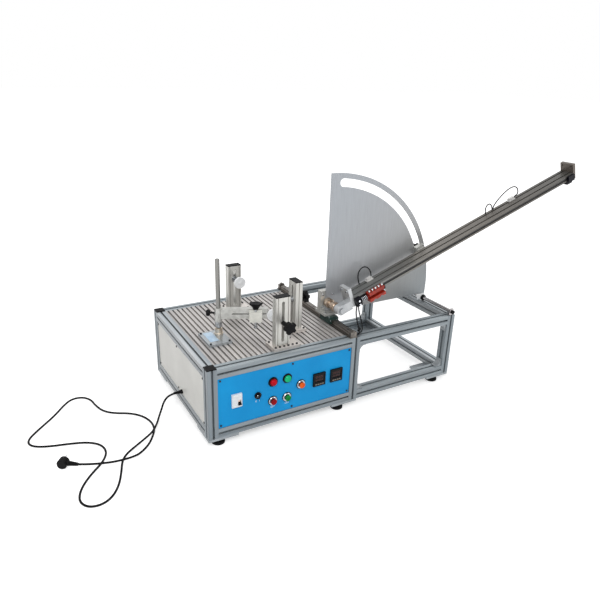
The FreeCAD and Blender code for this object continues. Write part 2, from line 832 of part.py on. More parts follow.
inside_z = profile
power_supply = box(supply_left, module_front, inside_z, supply_width, supply_length, supply_height)
controller_case = box(controller_left, module_front, inside_z,
                      controller_width, controller_length, controller_height)
relay_block = box(relay_left, module_front, inside_z, relay_width, controller_length, relay_height)
terminals = [
    box(terminal_left + terminal_pitch * count, terminal_front, inside_z,
        terminal_width, terminal_length, terminal_height)
    for count in range(terminal_count)
]
terminal_rail = box(terminal_left - terminal_width / 2, terminal_front + terminal_rail_width, inside_z,
                    terminal_pitch * terminal_count + terminal_width, terminal_rail_width, terminal_rail_height)
terminal_strip = fuse(terminal_rail, *terminals)
keep("control_modules", group(power_supply, controller_case, relay_block, terminal_strip))

# Worktable: T-slotted planks side by side on two cross beams

plank_width = (opening_width - plank_gap * (plank_count + 1)) / plank_count
table_z = frame_height
planks = []
for plank in range(plank_count):
    plank_left = profile + plank_gap + (plank_width + plank_gap) * plank
    pitch = plank_width / slots_per_plank
    outline = [
        (plank_left, table_z - plank_thickness),
        (plank_left + plank_width, table_z - plank_thickness),
        (plank_left + plank_width, table_z),
    ]
    for slot in reversed(range(slots_per_plank)):
        middle = plank_left + pitch * (slot + 0.5)
        mouth, inner = table_slot_mouth / 2, table_slot_inner / 2
        outline += [
            (middle + mouth, table_z),
            (middle + mouth, table_z - table_slot_lip),
            (middle + inner, table_z - table_slot_lip),
            (middle + inner, table_z - table_slot_depth),
            (middle - inner, table_z - table_slot_depth),
            (middle - inner, table_z - table_slot_lip),
            (middle - mouth, table_z - table_slot_lip),
            (middle - mouth, table_z),
        ]
    outline.append((plank_left, table_z))
    planks.append(prism("XZ_Plane", -side_y, side_length, outline, backwards=True))
beam_z = table_z - plank_thickness - table_beam_height
for beam_y in (frame_depth * 0.25, frame_depth * 0.68):
    planks.append(box(profile, beam_y, beam_z, opening_width, table_beam_width, table_beam_height))
keep("worktable", group(*planks))

# End caps on the left posts and on the columns

post_cap = box(1.0, 1.0, frame_height, profile - 2, profile - 2, cap_thickness)
end_caps = [front_and_back(post_cap)]
column_foot_z = frame_height + column_base_thickness
column_top_z = column_foot_z + column_height
wide_columns = ((rear_column_x, rear_column_y), (front_column_x, front_column_y))
for column_x, column_y in wide_columns:
    end_caps.append(
        box(column_x - column_wide / 2, column_y - column_narrow / 2, column_top_z,
            column_wide, column_narrow, cap_thickness)
    )
end_caps.append(
    box(side_column_x - column_narrow / 2, side_column_y - column_wide / 2, column_top_z,
        column_narrow, column_wide, cap_thickness)
)
keep("end_caps", group(*end_caps))

# Columns: flat extrusions with a long slot through them, on drilled bases


def column_section(across, deep):
    """Outline of a column: two grooves on each wide face and one on each narrow face."""
    groove, depth = 3.2, 4.0
    wide_across = across.number > deep.number
    marks_across = (across * 0.14, across * 0.86) if wide_across else (across / 2,)
    marks_deep = (deep / 2,) if wide_across else (deep * 0.14, deep * 0.86)
    sides = (
        ((-across / 2, -deep / 2), (1, 0), (0, 1), across, marks_across),
        ((across / 2, -deep / 2), (0, 1), (-1, 0), deep, marks_deep),
        ((across / 2, deep / 2), (-1, 0), (0, -1), across, marks_across),
        ((-across / 2, deep / 2), (0, -1), (1, 0), deep, marks_deep),
    )
    points = []
    for (start_x, start_y), along, inward, run, marks in sides:
        steps = [(Size.of(0.0), Size.of(0.0))]
        for mark in marks:
            steps += [
                (mark - groove / 2, Size.of(0.0)),
                (mark - groove / 2, Size.of(depth)),
                (mark + groove / 2, Size.of(depth)),
                (mark + groove / 2, Size.of(0.0)),
            ]
        for run_by, in_by in steps:
            points.append(
                (
                    start_x + run_by * along[0] + in_by * inward[0],
                    start_y + run_by * along[1] + in_by * inward[1],
                )
            )
    return points


def make_column(x, y, across, deep, slot_turn):
    column = prism("XY_Plane", column_foot_z, column_height, column_section(across, deep))
    place(column, x, y, 0.0)
    low = column_foot_z + column_slot_margin
    length = column_height - 2 * column_slot_margin
    half = column_slot_width / 2
    through = column_narrow + 2
    if slot_turn == TO_BACK:
        slab = box(x - half, y - through / 2, low, column_slot_width, through, length)
        ends = [rod(x, y - through / 2, z, half, through, TO_BACK) for z in (low, low + length)]
    else:
        slab = box(x - through / 2, y - half, low, through, column_slot_width, length)
        ends = [rod(x - through / 2, y, z, half, through, TO_RIGHT) for z in (low, low + length)]
    return cut(column, slab, *ends)


columns = [make_column(x, y, column_wide, column_narrow, TO_BACK) for x, y in wide_columns]
columns.append(make_column(side_column_x, side_column_y, column_narrow, column_wide, TO_RIGHT))

base_hole_radius = 3.5
for column_x, column_y in wide_columns:
    left = column_x - column_wide / 2 - 14
    low = column_y - column_base_length * 0.42
    holes = []
    for row_y in (low + 9, low + column_base_length - 9):
        holes += [(left + 10 + 18.4 * hole, row_y, base_hole_radius) for hole in range(6)]
    outline = rectangle(left, low, column_base_width, column_base_length)
    columns.append(prism("XY_Plane", frame_height, column_base_thickness, outline, holes))
side_base = rectangle(side_column_x - 30, side_column_y - 46, 60.0, 92.0)
side_holes = [(side_column_x + across, side_column_y + up, base_hole_radius)
              for across in (-21, 21) for up in (-38, 38)]
columns.append(prism("XY_Plane", frame_height, column_base_thickness, side_base, side_holes))
keep("fixture_columns", group(*columns))


def make_star(reach):
    """A five-lobed clamping knob on a collar, the lobes up the turned +Z."""
    body = new_body()
    sketch = new_sketch(body, "XY_Plane", reach)
    draw_circle(sketch, 0.0, 0.0, star_radius)
    add_pad(body, sketch, star_thickness)
    notch_sketch = new_sketch(body, "XY_Plane", reach)
    draw_circle(notch_sketch, star_radius * 1.12, 0.0, star_radius * 0.42)
    notch = body.newObject("PartDesign::Pocket", unique("notch"))
    notch.Profile = notch_sketch
    notch.Reversed = True
    notch.Type = "Length"
    bind(notch, "Length", star_thickness)
    doc.recompute()
    pattern = body.newObject("PartDesign::PolarPattern", unique("lobes"))
    pattern.Originals = [notch]
    pattern.Axis = (notch_sketch, ["N_Axis"])
    pattern.Angle = 360.0
    pattern.Occurrences = 5
    body.Tip = pattern
    return body


def make_clamp_shaft(reach_disc, reach_knob):
    """A shaft through a column slot: washers on both faces, disc end down -Z, knob end up +Z."""
    half = column_narrow / 2
    washer, collar = 13.0, 3.0
    radius = clamp_shaft_radius
    return turned(
        [
            (0.0, -half - reach_disc),
            (radius, -half - reach_disc),
            (radius, -half - seat_gap - collar),
            (washer, -half - seat_gap - collar),
            (washer, -half - seat_gap),
            (radius, -half - seat_gap),
            (radius, half + reach_knob),
            (0.0, half + reach_knob),
        ]
    )


def make_knob_with_collar(reach):
    """A star knob whose collar bears on the column's face, bored for its shaft."""
    start = column_narrow / 2 + seat_gap
    collar = rod(0.0, 0.0, start, 9.0, reach + 1)
    star = make_star(start + reach)
    bore = rod(0.0, 0.0, start - 1, clamp_shaft_radius + shaft_gap, reach + star_thickness - 2)
    return cut(fuse(collar, star), bore)


def make_disc():
    """A nylon disc that turns on the end of a clamp shaft, with a hub behind it."""
    face = -(column_narrow / 2 + disc_reach)
    radius = clamp_shaft_radius + shaft_gap
    return turned(
        [
            (0.0, face - 3),
            (6.0, face - 3),
            (8.0, face),
            (disc_radius - 1, face),
            (disc_radius, face + 1),
            (disc_radius, face + disc_thickness),
            (10.0, face + disc_thickness),
            (10.0, face + disc_thickness + 8),
            (radius, face + disc_thickness + 8),
            (radius, face + 3),
            (0.0, face + 3),
        ]
    )


shaft_end = disc_reach - 3.5
for side, column_x, column_y, shaft_z, turn in (
    ("rear", rear_column_x, rear_column_y, frame_height + rear_shaft_rise, TO_BACK),
    ("front", front_column_x, front_column_y, frame_height + front_shaft_rise, TO_FRONT),
):
    if side == "front":
        shaft = make_clamp_shaft(shaft_end, star_reach + star_thickness - 4)
        keep("front_star_knob", make_knob_with_collar(star_reach), column_x, column_y, shaft_z, turn)
    else:
        nut = hexagon(0.0, 0.0, column_narrow / 2 + seat_gap, 11.0, 9.0)
        shaft = fuse(make_clamp_shaft(shaft_end, 14.0), nut)
    keep(f"{side}_clamp_shaft", shaft, column_x, column_y, shaft_z, turn)
    keep(f"{side}_clamp_disc", make_disc(), column_x, column_y, shaft_z, turn)
side_reach = star_reach * 0.5
side_shaft_z = frame_height + side_shaft_rise
side_shaft = make_clamp_shaft(6.0, side_reach + star_thickness - 4)
keep("side_clamp_shaft", side_shaft, side_column_x, side_column_y, side_shaft_z, TO_RIGHT)
keep("side_star_knob", make_knob_with_collar(side_reach), side_column_x, side_column_y, side_shaft_z, TO_RIGHT)

# Round post stand

stand_top = frame_height + stand_base_thickness
stand_plate = prism(
    "XY_Plane",
    frame_height,
    stand_base_thickness,
    rectangle(stand_base_left, stand_base_front, stand_base_width, stand_base_length),
    [(post_x, post_y, post_radius - 2)],
)
foot_collar = turned(
    [
        (post_radius + shaft_gap, stand_top),
        (collar_radius + 3, stand_top),
        (collar_radius + 3, stand_top + 7),
        (collar_radius, stand_top + 9),
        (collar_radius, stand_top + foot_collar_height),
        (post_radius + shaft_gap, stand_top + foot_collar_height),
    ]
)
place(foot_collar, post_x, post_y, 0.0)
post = turned(
    [
        (0.0, stand_top),
        (post_radius, stand_top),
        (post_radius, stand_top + post_height - 2),
        (post_radius - 2, stand_top + post_height),
        (0.0, stand_top + post_height),
    ]
)
place(post, post_x, post_y, 0.0)
keep("post_stand", group(stand_plate, foot_collar, post))
slide_radius = post_radius + shaft_gap
stop_collar = turned(
    [
        (slide_radius, stop_collar_z),
        (collar_radius - 1, stop_collar_z),
        (collar_radius - 1, stop_collar_z + stop_collar_height),
        (slide_radius, stop_collar_z + stop_collar_height),
    ]
)
keep("stop_collar", stop_collar, post_x, post_y, 0.0)

SWING = Rotation(Vector(0, 0, 1), bar_swing.number)
sleeve_z = stop_collar_z + stop_collar_height + seat_gap
sleeve_tube = turned(
    [
        (slide_radius, sleeve_z),
        (collar_radius, sleeve_z),
        (collar_radius, sleeve_z + sleeve_height),
        (slide_radius, sleeve_z + sleeve_height),
    ]
)
bar_z = sleeve_z + bar_rise
bar_blank = box(slide_radius + 1, -bar_depth / 2, bar_z, bar_length - slide_radius - 1, bar_depth, bar_height)
bar_slot_start = collar_radius + 38
bar_slot_z = bar_z + bar_height / 2
bar_slot = box(bar_slot_start, -bar_depth / 2 - 1, bar_slot_z - bar_slot_height / 2,
               bar_length - bar_slot_start - 8, bar_depth + 2, bar_slot_height)
keep("guide_bar", fuse(sleeve_tube, cut(bar_blank, bar_slot)), post_x, post_y, 0.0, SWING)

knob_z = sleeve_z + sleeve_height * 0.62
sleeve_knob_stem = rod(-collar_radius - seat_gap, 0.0, knob_z, 4.0, 18.0, TO_LEFT)
sleeve_knob_head = place(
    turned([(0.0, 0.0), (9.0, 0.0), (13.0, 4.0), (13.0, 12.0), (9.0, 16.0), (0.0, 16.0)]),
    -collar_radius - seat_gap - 17, 0.0, knob_z, TO_LEFT,
)
keep("sleeve_knob", fuse(sleeve_knob_stem, sleeve_knob_head), post_x, post_y, 0.0, SWING)

slider_front = -bar_depth / 2 - seat_gap - slider_depth
slider_z = bar_slot_z - slider_height * 0.62
slider_block = box(slider_reach - slider_width / 2, slider_front, slider_z,
                   slider_width, slider_depth, slider_height)
tongue = box(slider_reach - 12, -bar_depth / 2 - 1, bar_slot_z - bar_slot_height / 2 + seat_gap,
             24.0, bar_depth + 2, bar_slot_height - 2 * seat_gap)
keeper = box(slider_reach - 14, bar_depth / 2 + seat_gap, bar_slot_z - 9, 28.0, 5.0, 18.0)
spindle_y = slider_front + slider_depth * 0.45
spindle_bore = rod(slider_reach, spindle_y, slider_z - 1, spindle_radius + shaft_gap, slider_height + 2)
keep("bar_slider", cut(fuse(slider_block, tongue, keeper), spindle_bore), post_x, post_y, 0.0, SWING)

wing_z = slider_z + slider_height + 8
spindle = rod(slider_reach, spindle_y, slider_z - 22, spindle_radius, wing_z + 30 - slider_z)
spindle_foot = place(
    turned([(0.0, 0.0), (5.0, 0.0), (8.5, 4.0), (8.5, 12.0), (0.0, 12.0)]),
    slider_reach, spindle_y, slider_z - 31, UPRIGHT,
)
wing_hub = place(
    turned([(0.0, 0.0), (9.0, 0.0), (14.0, 12.0), (14.0, 20.0), (0.0, 22.0)]),
    slider_reach, spindle_y, wing_z, UPRIGHT,
)
wing_grip = box(slider_reach - 28, spindle_y - 6, wing_z + 9, 56.0, 12.0, 19.0)
wing_cross = box(slider_reach - 6, spindle_y - 20, wing_z + 9, 12.0, 40.0, 15.0)
keep("hold_down_spindle", fuse(spindle, spindle_foot, wing_hub, wing_grip, wing_cross), post_x, post_y, 0.0, SWING)

# Traverse: rail on its strip, stops, bearing block, carriage plate and upright

strip_z = frame_height
rail_z0 = strip_z + rail_strip_height
rail_start = rail_inset + seat_gap
rail_run = frame_depth - 2 * rail_start
strip = box(pivot_x - rail_strip_width / 2, seat_gap, strip_z, rail_strip_width,
            frame_depth - 2 * seat_gap, rail_strip_height)
half_rail = rail_width / 2
rail_waist = rail_width * 0.14
rail_outline = [
    (pivot_x - half_rail, rail_z0),
    (pivot_x + half_rail, rail_z0),
    (pivot_x + half_rail, rail_z0 + rail_height * 0.35),
    (pivot_x + half_rail - rail_waist, rail_z0 + rail_height * 0.5),
    (pivot_x + half_rail - rail_waist, rail_z0 + rail_height * 0.68),
    (pivot_x + half_rail, rail_z0 + rail_height * 0.8),
    (pivot_x + half_rail, rail_z0 + rail_height),
    (pivot_x - half_rail, rail_z0 + rail_height),
    (pivot_x - half_rail, rail_z0 + rail_height * 0.8),
    (pivot_x - half_rail + rail_waist, rail_z0 + rail_height * 0.68),
    (pivot_x - half_rail + rail_waist, rail_z0 + rail_height * 0.5),
    (pivot_x - half_rail, rail_z0 + rail_height * 0.35),
]
rail = prism("XZ_Plane", -rail_start, rail_run, rail_outline, backwards=True)
stop_height = rail_height + stop_rise
stop_y = rail_start - seat_gap - stop_length
stop_block = box(pivot_x - rail_width * 0.7, stop_y, rail_z0, rail_width * 1.4, stop_length, stop_height)
stop_bolt = hexagon(pivot_x, stop_y + stop_length / 2, rail_z0 + stop_height, 6.5, 5.0)
keep("linear_rail", group(strip, rail, front_and_back(fuse(stop_block, stop_bolt))))

rail_top = rail_z0 + rail_height
block_top = rail_top + running_gap + block_head
half_block = block_width / 2
channel_half = half_rail + running_gap
block_low = rail_z0 + running_gap * 2
block_outline = [
    (pivot_x - half_block, block_low),
    (pivot_x - channel_half, block_low),
    (pivot_x - channel_half, rail_top + running_gap),
    (pivot_x + channel_half, rail_top + running_gap),
    (pivot_x + channel_half, block_low),
    (pivot_x + half_block, block_low),
    (pivot_x + half_block, block_top - 3),
    (pivot_x + half_block - 3, block_top),
    (pivot_x - half_block + 3, block_top),
    (pivot_x - half_block, block_top - 3),
]
keep("bearing_block", prism("XZ_Plane", -block_front, block_length, block_outline, backwards=True))

plate_left = pivot_x - carriage_plate_width / 2
plate_top = block_top + carriage_plate_thickness
carriage_holes = []
for hole_x in (plate_left + 9, plate_left + carriage_plate_width - 9):
    for hole_y in (carriage_plate_front + 10, carriage_plate_front + 40):
        carriage_holes.append((hole_x, hole_y, 3.0))
carriage_plate = prism(
    "XY_Plane",
    block_top,
    carriage_plate_thickness,
    rectangle(plate_left, carriage_plate_front, carriage_plate_width, carriage_plate_length),
    carriage_holes,
)

upright_left = pivot_x - upright_width / 2
upright_front = quadrant_front + quadrant_thickness
hub_hole = bushing_neck + shaft_gap
upright = prism(
    "XZ_Plane",
    -upright_front,
    upright_depth,
    rectangle(upright_left, plate_top, upright_width, upright_rise),
    [(pivot_x, pivot_z, hub_hole)],
    backwards=True,
)
keep("carriage_bracket", group(carriage_plate, upright))

# Quadrant plate: a disc about the pivot, trimmed to a quarter, with an arc slot and a notch

plate_y = quadrant_front
disc = rod(pivot_x, plate_y, pivot_z, quadrant_radius, quadrant_thickness, TO_BACK)
quarter = box(pivot_x - quadrant_left, plate_y - 1, pivot_z - quadrant_below,
              quadrant_radius + quadrant_left + 1, quadrant_thickness + 2, quadrant_radius + quadrant_below + 1)
sector = doc.addObject("Part::Common", unique("sector"))
sector.Base = disc
sector.Tool = quarter


def slot_ring(radius):
    """A pie slice between the slot's two end angles."""
    slice_piece = doc.addObject("Part::Cylinder", unique("slice"))
    bind(slice_piece, "Radius", radius)
    bind(slice_piece, "Height", quadrant_thickness + 2)
    bind(slice_piece, "Angle", arc_slot_end - arc_slot_start)
    turn = Rotation(Vector(0, 1, 0), -arc_slot_start.number).multiply(TO_FRONT)
    return place(slice_piece, pivot_x, plate_y + quadrant_thickness + 1, pivot_z, turn)


slot_band = cut(slot_ring(arc_slot_radius + arc_slot_width / 2), slot_ring(arc_slot_radius - arc_slot_width / 2))
slot_tools = [slot_band]
for end_angle in (arc_slot_start, arc_slot_end):
    end_x = Size(math.cos(math.radians(end_angle.number)), f"cos({end_angle.text} * 1deg)")
    end_z = Size(math.sin(math.radians(end_angle.number)), f"sin({end_angle.text} * 1deg)")
    slot_tools.append(
        rod(pivot_x + arc_slot_radius * end_x, plate_y - 1, pivot_z + arc_slot_radius * end_z,
            arc_slot_width / 2, quadrant_thickness + 2, TO_BACK)
    )
notch = box(pivot_x - quadrant_left - 1, plate_y - 1, pivot_z - quadrant_below - 1,
            carriage_plate_width / 2 + quadrant_left + 2, quadrant_thickness + 2,
            plate_top - pivot_z + quadrant_below + 1 + seat_gap)
hub_opening = rod(pivot_x, plate_y - 1, pivot_z, hub_hole, quadrant_thickness + 2, TO_BACK)
keep("quadrant_plate", cut(sector, *slot_tools, notch, hub_opening))

# Guide rod at the right, its supports, and the bushing that carries the quadrant plate on it

rod_z = frame_height + guide_rod_rise
rod_start = -guide_rod_overhang
rod_length = frame_depth + 2 * guide_rod_overhang
guide_bar_round = rod(guide_rod_x, rod_start, rod_z, guide_rod_radius, rod_length, TO_BACK)
support = box(guide_rod_x - rod_support_width / 2, rod_support_start, frame_height,
              rod_support_width, rod_support_length, guide_rod_rise + guide_rod_radius + 3)
support_bore = rod(guide_rod_x, rod_support_start - 1, rod_z, guide_rod_radius + shaft_gap,
                   rod_support_length + 2, TO_BACK)
keep("guide_rod", group(guide_bar_round, front_and_back(cut(support, support_bore))))

rod_bore = guide_rod_radius + shaft_gap
flange_back = rod_bushing_lip + rod_flange_thickness
rod_bushing = place(
    turned(
        [
            (rod_bore, 0.0),
            (rod_bushing_radius - 2.5, 0.0),
            (rod_bushing_radius - 1.5, 1.0),
            (rod_bushing_radius - 1.5, rod_bushing_lip),
            (rod_flange_radius, rod_bushing_lip),
            (rod_flange_radius, flange_back),
            (rod_bushing_radius, flange_back),
            (rod_bushing_radius, rod_bushing_length),
            (rod_bore, rod_bushing_length),
        ]
    ),
    guide_rod_x, rod_bushing_start, rod_z, TO_BACK,
)
bracket_front = quadrant_front + quadrant_thickness
bracket_low = rod_z - rod_bushing_radius - 0.5
rod_bracket = prism(
    "XZ_Plane",
    -bracket_front,
    rod_bracket_thickness,
    rectangle(guide_rod_x - rod_bracket_width / 2, bracket_low, rod_bracket_width, rod_bracket_rise),
    [(guide_rod_x, rod_z, rod_bushing_radius + shaft_gap)],
    backwards=True,
)
keep("rod_bushing", group(rod_bushing, rod_bracket))

# Pivot: bronze bushing in the upright, bolt in the bushing

upright_back = upright_front + upright_depth
bushing_bore = pivot_radius + shaft_gap
bushing_run = upright_back - bushing_front
ring_to_plate = quadrant_front - bushing_front
pivot_bushing = turned(
    [
        (bushing_bore, 0.0),
        (bushing_radius - 1.5, 0.0),
        (bushing_radius, 1.5),
        (bushing_radius, bushing_ring),
        (bushing_neck, bushing_ring + 2),
        (bushing_neck, ring_to_plate - bushing_ring - 2),
        (bushing_radius, ring_to_plate - bushing_ring),
        (bushing_radius, ring_to_plate),
        (bushing_neck, ring_to_plate),
        (bushing_neck, bushing_run),
        (bushing_bore, bushing_run),
    ]
)
keep("pivot_bushing", pivot_bushing, pivot_x, bushing_front, pivot_z, TO_BACK)

bolt_start = hinge_bar_front
bolt_end = upright_back + 14
bolt = fuse(
    rod(0.0, bolt_start, 0.0, pivot_radius, bolt_end - bolt_start, TO_BACK),
    hexagon(0.0, bolt_start, 0.0, pivot_radius * 1.5, 8.0, TO_FRONT),
    hexagon(0.0, upright_back + 1.0, 0.0, pivot_radius * 1.5, 10.0, TO_BACK),
)
keep_on_arm("pivot_bolt", bolt)

# Arm


bar_round = rod(0.0, hinge_bar_front, 0.0, hinge_bar_radius, hinge_bar_depth, TO_BACK)
bar_flat = box(0.0, hinge_bar_front, -hinge_bar_radius, arm_plate_start, hinge_bar_depth, 2 * hinge_bar_radius)
bolt_bore = rod(0.0, hinge_bar_front - 1, 0.0, pivot_radius + shaft_gap, hinge_bar_depth + 2, TO_BACK)
spacer = rod(0.0, hinge_bar_front + hinge_bar_depth, 0.0, pivot_radius * 1.6,
             bushing_front - hinge_bar_front - hinge_bar_depth - seat_gap, TO_BACK)
spacer_bore = rod(0.0, hinge_bar_front + 2, 0.0, pivot_radius + shaft_gap, hinge_bar_depth + 12, TO_BACK)
keep_on_arm("hinge_bar", cut(fuse(bar_round, bar_flat, spacer), bolt_bore, spacer_bore))



def arm_plate(start, front, depth, rise):
    """A plate across the arm with two screw holes near its upper edge."""
    hole_rise = arm_plate_low + rise - arm_plate_hole_inset
    holes = [(front + across, hole_rise, 3.5) for across in (arm_plate_hole_inset, depth - arm_plate_hole_inset)]
    return prism("YZ_Plane", start, arm_plate_thickness, rectangle(front, arm_plate_low, depth, rise), holes)


mount_plate = arm_plate(arm_plate_start, arm_plate_front, arm_plate_depth, arm_plate_rise)

beam_start = arm_plate_start + arm_plate_thickness
beam_end = beam_start + beam_length
beam_top = beam_low + beam_thickness
beam_back = beam_front + beam_width
channel_low = beam_low + (beam_thickness - channel_height) / 2
channel_high = channel_low + channel_height
groove_half, groove_deep = 4.0, 5.0
top_grooves = (beam_front + beam_width * 0.25, beam_front + beam_width * 0.75)
beam_outline = [
    (beam_front, beam_low),
    (beam_back, beam_low),
    (beam_back, beam_low + beam_thickness / 2 - groove_half),
    (beam_back - groove_deep, beam_low + beam_thickness / 2 - groove_half),
    (beam_back - groove_deep, beam_low + beam_thickness / 2 + groove_half),
    (beam_back, beam_low + beam_thickness / 2 + groove_half),
    (beam_back, beam_top),
]
for groove in reversed(top_grooves):
    beam_outline += [
        (groove + groove_half, beam_top),
        (groove + groove_half, beam_top - groove_deep),
        (groove - groove_half, beam_top - groove_deep),
        (groove - groove_half, beam_top),
    ]
beam_outline += [
    (beam_front, beam_top),
    (beam_front, channel_high),
    (beam_front + channel_depth, channel_high),
    (beam_front + channel_depth, channel_low),
    (beam_front, channel_low),
]
keep_on_arm("arm_beam", prism("YZ_Plane", beam_start, beam_length, beam_outline))
end_plate = arm_plate(beam_end, beam_front, beam_width, end_plate_rise)
keep_on_arm("arm_end_plates", group(mount_plate, end_plate))

# Belt drive in the beam's front channel

channel_mid = (channel_low + channel_high) / 2
belt_y = beam_front + channel_depth / 2
idler_u = beam_end - idler_setback
belt_outer = pulley_radius + belt_thickness
belt_low = channel_mid - belt_width / 2


def stadium(radius, low, height):
    """A flat-sided loop round both pulleys, filled."""
    run = idler_u - drive_pulley_u
    straight = box(drive_pulley_u, belt_y - radius, low, run, radius * 2, height)
    return fuse(
        straight,
        rod(drive_pulley_u, belt_y, low, radius, height),
        rod(idler_u, belt_y, low, radius, height),
    )


belt = cut(stadium(belt_outer, belt_low, belt_width),
           stadium(pulley_radius + seat_gap, belt_low - 1, belt_width + 2))
keep_on_arm("drive_belt", belt)


def make_pulley():
    """A belt pulley with twelve grooves, in one piece with the axle that the channel's walls hold."""
    radius = pulley_radius
    blank = rod(0.0, 0.0, channel_low + 1, radius, channel_height - 2)
    axle = rod(0.0, 0.0, channel_low + running_gap, 3.0, channel_height - 2 * running_gap)
    grooves = []
    for tooth in range(12):
        angle = math.radians(360 / 12 * tooth)
        grooves.append(
            rod(radius * math.cos(angle), radius * math.sin(angle), channel_low, 1.5, channel_height)
        )
    return fuse(cut(blank, fuse(*grooves)), axle)


for pulley_label, pulley_u in (("drive_pulley", drive_pulley_u), ("idler_pulley", idler_u)):
    pulley = make_pulley()
    place(pulley, pulley_u, belt_y, 0.0)
    keep_on_arm(pulley_label, group(pulley))

motor_front = beam_front - drive_depth
motor_start = beam_start + 1
motor_end = gripper_start - 4
motor_run = motor_end - motor_start
motor_mid = drive_low + drive_height / 2
gearbox = box(motor_start, motor_front, drive_low, motor_run * 0.45, drive_depth, drive_height)
motor_can = rod(motor_start + 1, motor_front + drive_depth / 2, motor_mid, drive_depth * 0.46, motor_run - 1, TO_RIGHT)
fittings = [
    rod(motor_start + motor_run * 0.2, motor_front, motor_mid + up, drive_fitting_radius, drive_fitting_length, TO_FRONT)
    for up in (drive_height * 0.25, drive_height * -0.25)
]
idler_housing = box(beam_end - housing_length - 2, beam_front - housing_depth, beam_low - housing_drop,
                    housing_length, housing_depth, beam_thickness + housing_drop - 2)
tip_stop = box(beam_end - tip_stop_length - housing_drop, beam_front + 4, beam_low - tip_stop_drop,
               tip_stop_length, tip_stop_depth, tip_stop_drop)
drive_motor = fuse(gearbox, motor_can, *fittings)
keep_on_arm("belt_drive_units", group(drive_motor, idler_housing, tip_stop))

# Cord gripper: a body with a through channel, a jaw bar and a row of clamp screws

gripper_front = beam_front - running_gap - gripper_depth
gripper_back_y = beam_front - running_gap
gripper_mid_y = gripper_front + gripper_depth * 0.32
jaw_room = jaw_thickness + jaw_opening
gripper_floor = gripper_low + gripper_wall + 5
gripper_blank = box(gripper_start, gripper_front, gripper_low, gripper_length, gripper_depth, gripper_height)
gripper_channel = box(gripper_start - 1, gripper_front - 1, gripper_floor,
                      gripper_length + 2, gripper_depth * 0.62, jaw_room)
belt_clip = box(gripper_start + gripper_length * 0.3, gripper_back_y - 1, channel_mid - 3.0,
                gripper_length * 0.4, belt_y - belt_outer - seat_gap - gripper_back_y + 1, 6.0)
scallops = [
    rod(gripper_start + gripper_length * share, gripper_front - 5, gripper_low - 4, 9.0, gripper_depth * 0.7, TO_BACK)
    for share in (0.3, 0.72)
]
keep_on_arm("gripper_body", cut(fuse(gripper_blank, belt_clip), gripper_channel, *scallops))
jaw = box(gripper_start + 2, gripper_front + 0.6, gripper_floor + jaw_opening - seat_gap,
          gripper_length - 4, gripper_depth * 0.62 - 2.2, jaw_thickness)
keep_on_arm("gripper_jaw", group(jaw))
screw_pitch = (gripper_length - 16) / (gripper_screw_count - 1)
gripper_top = gripper_low + gripper_height
clamp_screws = []
for screw in range(gripper_screw_count):
    screw_u = gripper_start + 8 + screw_pitch * screw
    clamp_screws.append(rod(screw_u, gripper_mid_y, gripper_top, gripper_screw_radius, 6.0))
bumper = rod(gripper_start + gripper_length, gripper_back_y - 9, gripper_low + 9, 7.0, 7.0, TO_RIGHT)
keep_on_arm("gripper_screws", group(*clamp_screws, bumper))

# Arc clamp: a bracket behind the beam, a bolt through the arc slot and a knob behind the plate

clamp_n = beam_low + beam_thickness / 2
clamp_u = arc_slot_radius
pad_back = quadrant_front - running_gap
clamp_bracket = fuse(
    box(clamp_u - clamp_block_height * 0.42, beam_back, clamp_n - clamp_block_height * 0.23,
        clamp_block_height * 0.84, pad_back - beam_back, clamp_block_height * 0.46),
    box(clamp_u - clamp_block_height / 2, beam_back + housing_depth, clamp_n - clamp_block_height / 2,
        clamp_block_height * 0.92, pad_back - beam_back - housing_depth, clamp_block_height),
    rod(clamp_u, pad_back - 1, clamp_n, clamp_stud_radius, quadrant_thickness + star_thickness, TO_BACK),
)
keep_on_arm("arc_clamp_bracket", clamp_bracket)
clamp_knob = place(make_star(3.0), clamp_u, quadrant_front + quadrant_thickness + running_gap, clamp_n, TO_BACK)
clamp_washer = rod(clamp_u, quadrant_front + quadrant_thickness + running_gap, clamp_n, 22.0, 3.5, TO_BACK)
clamp_bore = rod(clamp_u, quadrant_front, clamp_n, clamp_stud_radius + shaft_gap, star_thickness + 4, TO_BACK)
keep_on_arm("arc_clamp_knob", cut(fuse(clamp_knob, clamp_washer), clamp_bore))

# Limit sensors on the beam's top

sensors = []
sensor_front = beam_back - sensor_inset - sensor_foot_depth
for sensor_u, sensor_length in (
    (near_sensor_u, near_sensor_length),
    (far_sensor_u, far_sensor_length),
):
    foot_strip = box(sensor_u, sensor_front, beam_top,
                     sensor_length, sensor_foot_depth, sensor_foot_thickness)
    head = box(sensor_u + sensor_foot_thickness, sensor_front + sensor_foot_thickness / 2,
               beam_top + sensor_foot_thickness,
               sensor_length - sensor_foot_thickness * 3, sensor_head_side, sensor_head_side)
    sensors.append(fuse(foot_strip, head))
keep_on_arm("limit_sensors", group(*sensors))

# Gland, cord and plug

gland = turned(
    [
        (0.0, -8.0),
        (gland_radius - 2.3, -8.0),
        (gland_radius - 2.3, 0.0),
        (gland_radius, 0.0),
        (gland_radius, 5.0),
        (gland_radius - 2, 7.0),
        (cord_diameter / 2 + 1.2, gland_length + panel_setback),
        (0.0, gland_length + panel_setback),
    ]
)
keep("cord_gland", gland, panel_setback, cord_exit_y, cord_exit_z, TO_LEFT)

